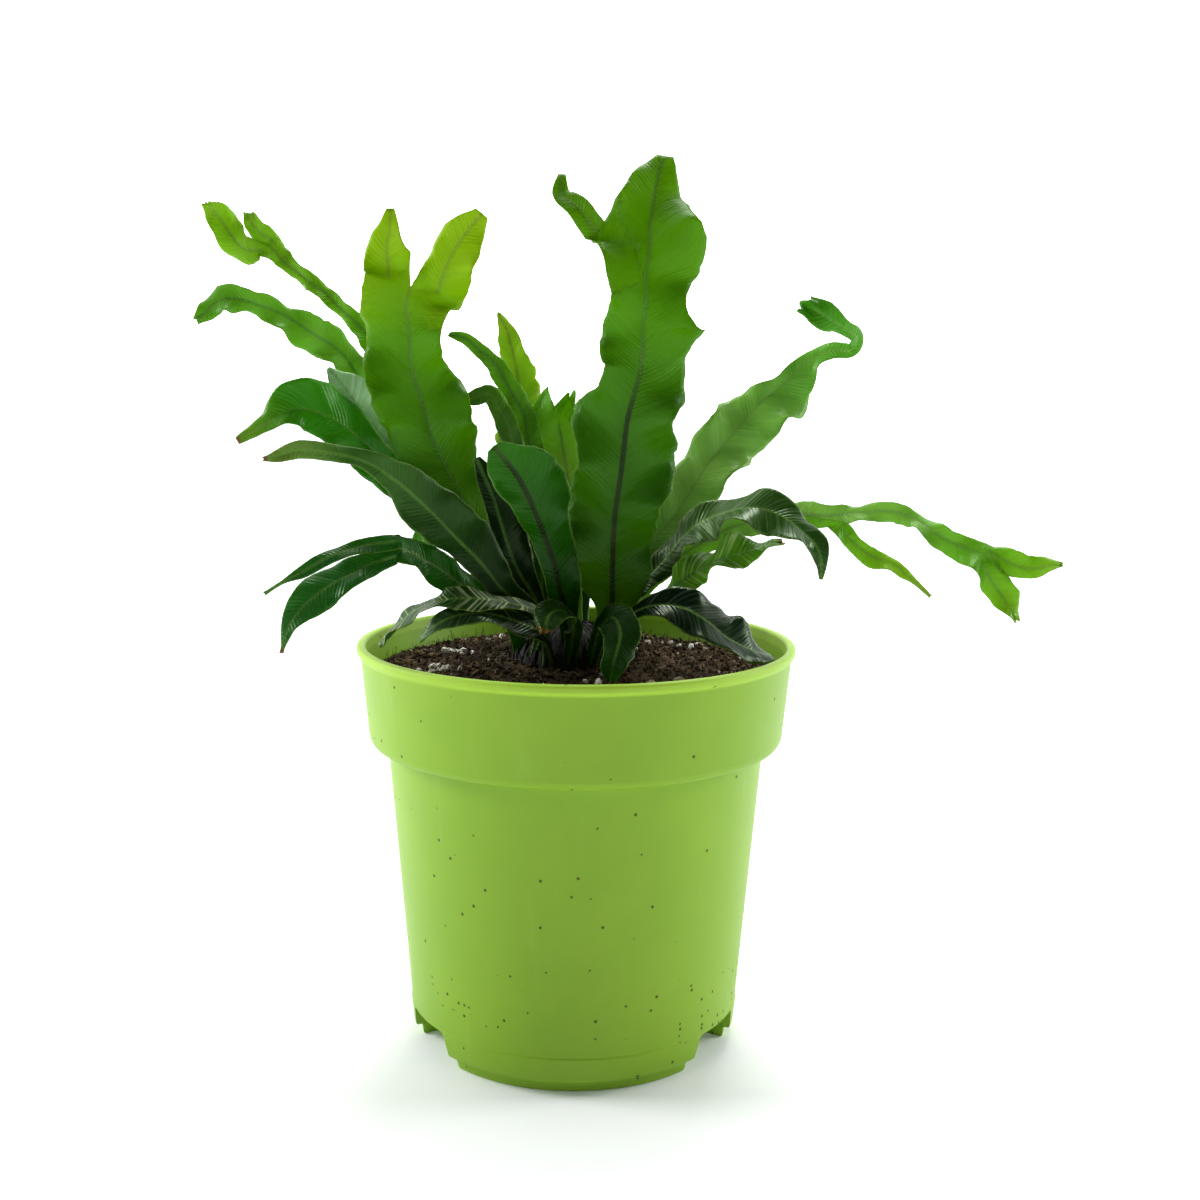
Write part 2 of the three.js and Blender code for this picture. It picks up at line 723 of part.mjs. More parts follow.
// The recesses in the foot, grown by a margin all round.
function recesses(margin) {
  const top = RECESS_HEIGHT + margin;
  const lean = (RECESS_HALF_WIDTH - RECESS_TOP_HALF_WIDTH) / RECESS_HEIGHT;
  const halfAt = (z) => RECESS_HALF_WIDTH + margin - lean * z;
  const notch = new THREE.Shape();
  notch.moveTo(-halfAt(-CUT_BEYOND), -CUT_BEYOND);
  notch.lineTo(halfAt(-CUT_BEYOND), -CUT_BEYOND);
  notch.lineTo(halfAt(top - CORNER), top - CORNER);
  notch.lineTo(halfAt(top) - CORNER, top);
  notch.lineTo(CORNER - halfAt(top), top);
  notch.lineTo(-halfAt(top - CORNER), top - CORNER);
  notch.closePath();
  const body = new THREE.ExtrudeGeometry(notch, { depth: BEAD_RADIUS, bevelEnabled: false });
  body.rotateX(Math.PI / 2).rotateZ(Math.PI / 2).translate(RECESS_INNER_RADIUS - margin, 0, 0);
  return atRecesses(body);
}

// Copies of a body that is made for a recess facing +X, one at each recess, as one solid.
function atRecesses(body) {
  const copies = RECESS_TURNS.map((turn) => solid(body.clone().rotateZ(THREE.MathUtils.degToRad(turn))));
  return copies.reduce((sum, copy) => sum.add(copy));
}

// The pot: a moulded shell with the recesses and a drain slot through the roof of each.
function pot() {
  const outside = solid(turned([...potOutside, [0, RIM_HEIGHT]]));
  const [mouthRadius] = potInside.at(-1);
  const above = RIM_HEIGHT + CUT_BEYOND;
  const mouth = [[mouthRadius, above], [0, above]];
  const hollow = solid(turned([...potInside, ...mouth])).subtract(recesses(WALL));
  const slot = new THREE.BoxGeometry(DRAIN_SLOT_WIDTH, DRAIN_SLOT_LENGTH, CUT_BEYOND);
  slot.translate(RECESS_INNER_RADIUS + DRAIN_SLOT_WIDTH, 0, RECESS_HEIGHT);
  return geometryOf(outside.subtract(recesses(0)).subtract(hollow).subtract(atRecesses(slot)));
}

// A closed stack of rings about +Z, bottom first, with a single point at each end.
function stack(bottom, rings, top) {
  const sides = rings[0].length;
  const points = [bottom, ...rings.flat(), top];
  const corners = [];
  const at = (ring, i) => 1 + ring * sides + (i % sides);
  for (let i = 0; i < sides; i += 1) {
    corners.push(0, at(0, i + 1), at(0, i));
    for (let ring = 0; ring < rings.length - 1; ring += 1) {
      corners.push(at(ring, i), at(ring, i + 1), at(ring + 1, i + 1));
      corners.push(at(ring, i), at(ring + 1, i + 1), at(ring + 1, i));
    }
    corners.push(points.length - 1, at(rings.length - 1, i), at(rings.length - 1, i + 1));
  }
  return closed(points.flat(), corners);
}

function ring(radius, height, sides, lift = () => 0) {
  return Array.from({ length: sides }, (_, i) => {
    const angle = (i / sides) * 2 * Math.PI;
    const [x, y] = [radius * Math.cos(angle), radius * Math.sin(angle)];
    return [x, y, height + lift(x, y, i)];
  });
}

// The peat fills the pot clear of its wall; its top slopes up to the crown and is lumpy.
function soil() {
  const edge = bandRadius(SOIL_EDGE_HEIGHT) - WALL - 2 * SOIL_GAP;
  const rings = potInside.slice(1, -1).map(([r, z]) => ring(r - SOIL_GAP, z + SOIL_GAP, SOIL_SIDES));
  rings.push(ring(edge, SOIL_EDGE_HEIGHT, SOIL_SIDES));
  const rise = SOIL_CENTRE_HEIGHT - SOIL_EDGE_HEIGHT;
  for (let k = 1; k < SOIL_RINGS; k += 1) {
    const share = 1 - k / SOIL_RINGS;
    const height = SOIL_EDGE_HEIGHT + rise * (1 - share * share);
    rings.push(ring(edge * share, height, SOIL_SIDES, (x, y, i) => SOIL_LUMP * chance(i, k)));
  }
  const [, floor] = potInside[0];
  const whole = solid(stack([0, 0, floor + SOIL_GAP], rings, [0, 0, SOIL_CENTRE_HEIGHT]));
  const hole = turned([
    [0, CROWN_BOTTOM - SOCKET_GAP],
    [CROWN_RADIUS + SOCKET_GAP, CROWN_BOTTOM - SOCKET_GAP],
    [CROWN_RADIUS + SOCKET_GAP, RIM_HEIGHT],
    [0, RIM_HEIGHT],
  ], CROWN_SIDES);
  hole.translate(CROWN_X, CROWN_Y, 0);
  return geometryOf(whole.subtract(recesses(WALL + SOIL_GAP)).subtract(solid(hole)));
}

// The crown: a scaly dome with a socket for the foot of each frond.
function crown(sockets) {
  const rings = [];
  for (let k = 0; k <= CROWN_RINGS; k += 1) {
    const turn = (k / CROWN_RINGS) * (Math.PI / 2);
    const shoulder = CROWN_TOP - CROWN_DOME;
    const radius = (CROWN_RADIUS - SOCKET_GAP) * Math.cos(turn * CROWN_CLOSING);
    const lift = (x, y, i) => (k ? CROWN_SCALE * chance(i, SOIL_RINGS + k) : 0);
    rings.push(ring(radius, shoulder + CROWN_DOME * Math.sin(turn), CROWN_SIDES, lift));
  }
  const foot = ring(CROWN_RADIUS - SOCKET_GAP, CROWN_BOTTOM, CROWN_SIDES);
  const dome = stack([0, 0, CROWN_BOTTOM], [foot, ...rings], [0, 0, CROWN_TOP + CROWN_SCALE]);
  let body = solid(dome.translate(CROWN_X, CROWN_Y, 0));
  for (const socket of sockets) body = body.subtract(solid(socket));
  const [largest] = body.decompose().sort((a, b) => b.volume() - a.volume());
  return geometryOf(largest);
}

// Stations run along a blade's midrib: [x, y, z, left half-width, right half-width, roll in degrees].
// A cubic through them gives a row of such values every step along the route.
function rowsAlong(stations, step) {
  const knots = [0];
  for (let i = 1; i < stations.length; i += 1) {
    const [[a, b, c], [x, y, z]] = [stations[i - 1], stations[i]];
    knots.push(knots[i - 1] + Math.hypot(x - a, y - b, z - c));
  }
  const last = knots.length - 1;
  const slope = (i, c) => (stations[i + 1][c] - stations[i][c]) / (knots[i + 1] - knots[i]);
  const gradient = (i, c) => {
    if (i === 0 || i === last) return slope(Math.min(i, last - 1), c);
    const before = knots[i] - knots[i - 1];
    const after = knots[i + 1] - knots[i];
    return (slope(i - 1, c) * after + slope(i, c) * before) / (before + after);
  };
  const count = Math.max(2, Math.round(knots[last] / step));
  return Array.from({ length: count + 1 }, (_, n) => {
    const s = (knots[last] * n) / count;
    const i = Math.max(0, Math.min(last - 1, knots.findIndex((knot) => knot > s) - 1));
    const k = n === count ? last - 1 : i;
    const span = knots[k + 1] - knots[k];
    const u = (s - knots[k]) / span;
    const values = stations[k].map((p, c) => {
      const q = stations[k + 1][c];
      const [a, b] = [gradient(k, c) * span, gradient(k + 1, c) * span];
      return p + u * (a + u * (3 * (q - p) - 2 * a - b + u * (a + b - 2 * (q - p))));
    });
    return { s, values };
  });
}

// The direction along a route at point n, the blade's upward side there and the way to its right.
function frameAt(points, n, face, roll = 0) {
  const ahead = points[Math.min(n + 1, points.length - 1)];
  const tangent = ahead.clone().sub(points[Math.max(n - 1, 0)]).normalize();
  const normal = new THREE.Vector3(...face).projectOnPlane(tangent).normalize();
  normal.applyAxisAngle(tangent, THREE.MathUtils.degToRad(roll));
  return { tangent, normal, across: tangent.clone().cross(normal) };
}

// Adds a blade to a sheet of points and faces. Its first row can be points that the sheet has.
function growBlade(sheet, blade, firstRow = null, startAt = 0) {
  const { face, ruffle, halfColumns = HALF_COLUMNS } = blade;
  const rows = rowsAlong(blade.stations, ROW_STEP);
  const points = rows.map(({ values: [x, y, z] }) => new THREE.Vector3(x, y, z));
  const grid = rows.map(({ s, values }, n) => {
    if (n === 0 && firstRow) return firstRow;
    const ribHere = RIB_THICKNESS * Math.max(RIB_LEAST, 1 - (startAt + s) / RIB_LENGTH);
    const { normal, across } = frameAt(points, n, face, values[5]);
    const swell = THREE.MathUtils.clamp((startAt + s - RUFFLE_START) / RUFFLE_START, 0, 1);
    const columns = [points[n].clone()];
    for (const [side, width, amount, phase] of [
      [-1, values[3], ruffle.left, ruffle.leftPhase],
      [1, values[4], ruffle.right, ruffle.rightPhase],
    ]) {
      const half = Math.max(width, LEAST_HALF_WIDTH);
      const place = points[n].clone();
      for (let j = 1; j <= halfColumns; j += 1) {
        const t = (j - 0.5) / halfColumns;
        const turn = (startAt + s - RUFFLE_LAG * half * t) / ruffle.length;
        const share = swell * (RUFFLE_AT_RIB + (1 - RUFFLE_AT_RIB) * t);
        const wave = amount * share * Math.sin(2 * Math.PI * turn + THREE.MathUtils.degToRad(phase));
        const tilt = THREE.MathUtils.degToRad(BLADE_FOLD * (1 - t) + wave);
        const reach = half / halfColumns;
        place.addScaledVector(across, side * reach * Math.cos(tilt));
        place.addScaledVector(normal, reach * Math.sin(tilt));
        if (side < 0) columns.unshift(place.clone());
        else columns.push(place.clone());
      }
    }
    const stalk = Math.max(0, 1 - (startAt + s) / STALK_LENGTH);
    return columns.map((point, j) => {
      const rib = j === halfColumns ? ribHere : 0;
      const thickness = BLADE_THICKNESS + (STALK_THICKNESS - BLADE_THICKNESS) * stalk;
      const up = thickness / 2;
      sheet.points.push({ point, up, down: up + rib });
      return sheet.points.length - 1;
    });
  });
  for (let n = 1; n < grid.length; n += 1) {
    for (let j = 0; j < 2 * halfColumns; j += 1) {
      const [a, b, c, d] = [grid[n - 1][j], grid[n - 1][j + 1], grid[n][j + 1], grid[n][j]];
      for (const face3 of [[a, b, c], [a, c, d]]) {
        if (new Set(face3).size === 3) sheet.faces.push(face3);
      }
    }
  }
  for (const lobe of blade.lobes ?? []) {
    const first = lobeRow(lobe, grid, rows, 2 * halfColumns);
    const ends = [first.at(0), first.at(-1)].map((i) => sheet.points[i].point);
    const middle = ends[0].clone().add(ends[1]).multiplyScalar(0.5);
    const half = ends[0].distanceTo(ends[1]) / 2;
    const start = [middle.x, middle.y, middle.z, half, half, 0];
    const child = { face, ruffle, halfColumns, ...lobe, stations: [start, ...lobe.stations] };
    growBlade(sheet, child, first, startAt + rows.at(-1).s);
  }
}

// The row of a blade's points that a lobe grows from: a share of its end, or a stretch of one margin.
function lobeRow(lobe, grid, rows, columns) {
  const share = (j, from, to) => from + ((to - from) * j) / columns;
  const picks = Array.from({ length: columns + 1 }, (_, j) => j);
  if (lobe.end) {
    const [from, to] = lobe.end.map((t) => ((t + 1) / 2) * columns);
    return picks.map((j) => grid.at(-1)[Math.round(share(j, from, to))]);
  }
  const rowAt = (s) => (s / rows.at(-1).s) * (rows.length - 1);
  const low = Math.round(rowAt(lobe.from));
  const high = Math.max(low + 1, Math.round(rowAt(lobe.to)));
  const column = lobe.side === 'left' ? 0 : columns;
  const ends = lobe.side === 'left' ? [low, high] : [high, low];
  return picks.map((j) => grid[Math.round(share(j, ...ends))][column]);
}

// Gives a sheet its thickness: both faces get the same triangles, and walls close the margin.
function thicken(sheet) {
  const normals = sheet.points.map(() => new THREE.Vector3());
  const edges = new Set();
  for (const [a, b, c] of sheet.faces) {
    const [p, q, r] = [a, b, c].map((i) => sheet.points[i].point);
    const normal = q.clone().sub(p).cross(r.clone().sub(p));
    for (const i of [a, b, c]) normals[i].add(normal);
    for (const edge of [[a, b], [b, c], [c, a]]) edges.add(edge.join());
  }
  const count = sheet.points.length;
  const shifted = (i, by) => sheet.points[i].point.clone().addScaledVector(normals[i].normalize(), by);
  const top = sheet.points.map(({ up }, i) => shifted(i, up));
  const bottom = sheet.points.map(({ down }, i) => shifted(i, -down));
  const corners = [];
  for (const [a, b, c] of sheet.faces) {
    corners.push(a, b, c, a + count, c + count, b + count);
    for (const [i, k] of [[a, b], [b, c], [c, a]]) {
      if (!edges.has([k, i].join())) corners.push(k, i, i + count, k, i + count, k + count);
    }
  }
  return closed([...top, ...bottom].flatMap((v) => v.toArray()), corners);
}

// The blade of a frond with the station at its foot in the crown.
function rooted(spec) {
  const [radius, turn] = spec.foot;
  const angle = THREE.MathUtils.degToRad(turn);
  const x = CROWN_X + radius * Math.cos(angle);
  const y = CROWN_Y + radius * Math.sin(angle);
  const foot = [x, y, FOOT_HEIGHT, STALK_HALF_WIDTH, STALK_HALF_WIDTH, 0];
  return { ...spec, stations: [foot, ...spec.stations] };
}

function frond(spec) {
  const sheet = { points: [], faces: [] };
  growBlade(sheet, rooted(spec));
  return thicken(sheet);
}

// The socket that a frond's stalk stands in: an eight-sided hole along the foot of its route.
function socket(spec) {
  const blade = rooted(spec);
  const rows = rowsAlong(blade.stations, ROW_STEP).filter(({ s }) => s < STALK_LENGTH);
  const points = rows.map(({ values: [x, y, z] }) => new THREE.Vector3(x, y, z));
  const deep = STALK_THICKNESS / 2 + SOCKET_GAP;
  const corner = SOCKET_GAP;
  const rings = rows.map(({ values }, n) => {
    const { tangent, normal, across } = frameAt(points, n, blade.face);
    const wide = Math.max(values[3], values[4]) + SOCKET_GAP;
    const low = -deep - RIB_THICKNESS;
    const outline = [
      [wide, deep - corner], [wide - corner, deep], [corner - wide, deep], [-wide, deep - corner],
      [-wide, low / 2], [-wide / 2, low], [wide / 2, low], [wide, low / 2],
    ].reverse();
    const start = n === 0 ? points[0].clone().addScaledVector(tangent, -SOCKET_GAP) : points[n];
    const place = ([u, v]) => start.clone().addScaledVector(across, u).addScaledVector(normal, v);
    return outline.map((pair) => place(pair).toArray());
  });
  const mean = (outline, c) => outline.reduce((sum, p) => sum + p[c], 0) / outline.length;
  const middle = (outline) => [0, 1, 2].map((c) => mean(outline, c));
  return stack(middle(rings[0]), rings, middle(rings.at(-1)));
}

const plant = new THREE.Group();
plant.name = 'potted_birds_nest_fern';

function addPiece(name, geometry, { color, roughness }) {
  const material = new THREE.MeshStandardMaterial({ color, roughness, metalness: 0 });
  const piece = new THREE.Mesh(geometry, material);
  piece.name = name;
  plant.add(piece);
}

const specs = Object.entries(FRONDS);
addPiece('pot', pot(), PLASTIC);
addPiece('soil', soil(), PEAT);
addPiece('crown', crown(specs.map(([, spec]) => socket(spec))), SCALES);
for (const [name, spec] of specs) {
  addPiece(name, frond(spec), { color: spec.color, roughness: LEAF_ROUGHNESS });
}

export default plant;
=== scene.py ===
# %% [markdown]
# # A potted bird's nest fern
# The plant is a young fern with wavy fronds in a thin plastic nursery pot. The CAD model holds
# every piece at its real size and place. This file gives the pieces their fine surfaces: it grows
# each frond again along the same route with many more rows, turns the pot with round edges,
# crumbles the peat, and then paints everything with procedural materials.
# All lengths in the tables are millimetres, as in the CAD source, and Blender gets metres.

# %% Load the frame
import json
import math

import bmesh
import bpy
import numpy as np
from mathutils import Euler, Matrix, Vector, noise


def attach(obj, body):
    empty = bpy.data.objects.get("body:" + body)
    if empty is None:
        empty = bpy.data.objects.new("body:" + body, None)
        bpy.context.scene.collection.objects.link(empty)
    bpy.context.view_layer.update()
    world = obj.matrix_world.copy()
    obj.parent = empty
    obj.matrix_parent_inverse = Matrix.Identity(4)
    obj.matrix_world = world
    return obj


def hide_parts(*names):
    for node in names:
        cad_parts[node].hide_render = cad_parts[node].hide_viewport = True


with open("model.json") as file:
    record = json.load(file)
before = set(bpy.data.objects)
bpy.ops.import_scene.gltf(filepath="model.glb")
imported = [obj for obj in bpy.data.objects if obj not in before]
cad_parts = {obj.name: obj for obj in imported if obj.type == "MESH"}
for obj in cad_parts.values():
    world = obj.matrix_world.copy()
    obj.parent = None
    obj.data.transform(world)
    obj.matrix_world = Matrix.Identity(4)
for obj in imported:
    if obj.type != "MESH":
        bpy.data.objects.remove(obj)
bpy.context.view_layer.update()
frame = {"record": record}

MM = 0.001


def put(name, data):
    """A new object in the scene."""
    thing = bpy.data.objects.new(name, data)
    bpy.context.scene.collection.objects.link(thing)
    return thing


# %% [markdown]
# ## The camera
# A camera could be placed by eye. Here it was fitted to the pot: the rim, the band and the foot are
# circles of known size, so the ellipses that they make in the photograph give the distance, the
# height, the downward tilt and the focal length. The focal length is in picture widths of 1200.

# %% Camera
PHOTO_WIDTH = 1200
FOCAL_PIXELS = 1443.8
CAMERA_PLACE = (6.3, -392.3, 183.25)
PITCH_DOWN = 8.846
CAMERA_ROLL = 0.603

camera_data = bpy.data.cameras.new("camera")
camera_data.sensor_width = 36
camera_data.lens = camera_data.sensor_width * FOCAL_PIXELS / PHOTO_WIDTH
camera_data.clip_start = 0.01
camera = put("camera", camera_data)
tilt = Matrix.Rotation(math.radians(90 - PITCH_DOWN), 4, "X")
roll = Matrix.Rotation(math.radians(CAMERA_ROLL), 4, "Z")
camera.matrix_world = Matrix.Translation(Vector(CAMERA_PLACE) * MM) @ tilt @ roll
bpy.context.scene.camera = camera
print("lens:", round(camera_data.lens, 2), "mm")

# %% [markdown]
# ## Shader arithmetic
# A material that varies over a surface is a formula. Blender spells a formula as a tree of nodes,
# which is slow to write and hard to read. So one small class wraps the output of a node, and
# Python's own operators on it add the Math nodes. Colours are mixed by the Mix node, because a Math
# node turns a colour grey. Every other node comes from one method, `Recipe.node`.

# %% Wires and recipes
class Wire:
    """The output of a node. Arithmetic on it adds Math nodes to the same recipe."""

    def __init__(self, recipe, socket):
        self.recipe = recipe
        self.socket = socket

    def math(self, operation, *terms):
        return self.recipe.node("ShaderNodeMath", {"operation": operation}, dict(enumerate(terms)))

    def __add__(self, other):
        return self.math("ADD", self, other)

    def __sub__(self, other):
        return self.math("SUBTRACT", self, other)

    def __rsub__(self, other):
        return self.math("SUBTRACT", other, self)

    def __mul__(self, other):
        return self.math("MULTIPLY", self, other)

    def __truediv__(self, other):
        return self.math("DIVIDE", self, other)

    __radd__ = __add__
    __rmul__ = __mul__

    def wave(self):
        """A sine of this value in turns, from -1 to 1."""
        return self.math("SINE", self * math.tau)

    def above(self, low, high):
        """0 below low and 1 above high, with a soft step between. With high under low it falls."""
        settings = {"interpolation_type": "SMOOTHSTEP"}
        if low <= high:
            return self.recipe.node("ShaderNodeMapRange", settings, {"Value": self, 1: low, 2: high})
        return 1 - self.above(high, low)


class Recipe:
    """The node tree of one material, or of the world."""

    def __init__(self, name, made=None):
        self.made = made or bpy.data.materials.new(name)
        self.made.use_nodes = True
        self.tree = self.made.node_tree
        self.tree.nodes.clear()

    def node(self, kind, settings=None, sockets=None, output=0):
        """Adds a node: its settings first, then its sockets' values or links. Returns one output."""
        made = self.tree.nodes.new(kind)
        for name, value in (settings or {}).items():
            setattr(made, name, value)
        for name, value in (sockets or {}).items():
            socket = made.inputs[name]
            if isinstance(value, Wire):
                self.tree.links.new(value.socket, socket)
            else:
                socket.default_value = value
        return Wire(self, made.outputs[output])

    def attribute(self, name, output="Fac"):
        return self.node("ShaderNodeAttribute", {"attribute_name": name}, output=output)

    def place(self):
        return self.node("ShaderNodeTexCoord", output="Object")

    def axis(self, where, letter):
        return self.node("ShaderNodeSeparateXYZ", {}, {0: where}, output=letter)

    def vector(self, x, y, z):
        return self.node("ShaderNodeCombineXYZ", sockets={"X": x, "Y": y, "Z": z})

    def noise(self, where, scale, detail=2.0, roughness=0.5):
        sockets = {"Vector": where, "Scale": scale, "Detail": detail, "Roughness": roughness}
        return self.node("ShaderNodeTexNoise", {}, sockets)

    def mix(self, share, a, b):
        """Colour a where share is 0 and colour b where it is 1."""
        settings = {"data_type": "RGBA"}
        return self.node("ShaderNodeMix", settings, {0: share, 6: a, 7: b}, output=2)

    def shade(self, color, share):
        """A colour with all its channels multiplied by one number."""
        grey = self.node("ShaderNodeCombineColor", sockets={"Red": share, "Green": share, "Blue": share})
        settings = {"data_type": "RGBA", "blend_type": "MULTIPLY"}
        return self.node("ShaderNodeMix", settings, {0: 1.0, 6: color, 7: grey}, output=2)

    def bump(self, height, distance, strength=1.0):
        sockets = {"Height": height, "Distance": distance, "Strength": strength}
        return self.node("ShaderNodeBump", {}, sockets)

    def finish(self, **sockets):
        """A Principled shader with these sockets. An underscore stands for a space in their names."""
        named = {name.replace("_", " "): value for name, value in sockets.items()}
        return self.node("ShaderNodeBsdfPrincipled", {}, named)

    def done(self, shader, kind="ShaderNodeOutputMaterial"):
        output = self.tree.nodes.new(kind)
        self.tree.links.new(shader.socket, output.inputs["Surface"])
        return self.made


def rgb(code, alpha=1.0):
    """A colour written as on a paint chart, such as "8fc43a", in the linear values of the shader."""
    parts = [int(code[i:i + 2], 16) / 255 for i in (0, 2, 4)]
    linear = [p / 12.92 if p <= 0.04045 else ((p + 0.055) / 1.055) ** 2.4 for p in parts]
    return (*linear, alpha)


print("lime green in linear values:", [round(v, 3) for v in rgb("8fc43a")])

# %% [markdown]
# ## The fronds' routes
# A frond is one blade on a midrib. It is described by stations along the midrib: x, y and z, the
# half-width to the left and to the right, and a roll about the midrib. The last two are left out
# where both sides are equal and the blade isn't rolled. Most stations were picked by eye in the
# photograph, with a judged depth, and a separate script worked out the millimetres through the
# fitted camera. The four fronds behind, and a few stations of the left one, were written in
# millimetres. A fork or a crest is a lobe, which grows from a share of its blade's end or from a
# stretch of one margin. The stations are those of the CAD source, so the fine blades lie there too.

# %% Routes
def station(x, y, z, left, right=None, roll=0):
    """One station in full. Without a right half-width it is the left one, without a roll none."""
    return (x, y, z, left, left if right is None else right, roll)


def leaf(stations, *lobes, **facts):
    """A blade or a lobe: its stations as text, the lobes that grow from it, and its own facts."""
    rows = [station(*map(float, numbers.split())) for numbers in stations.split(",")]
    return {"stations": rows, "lobes": lobes, **facts}


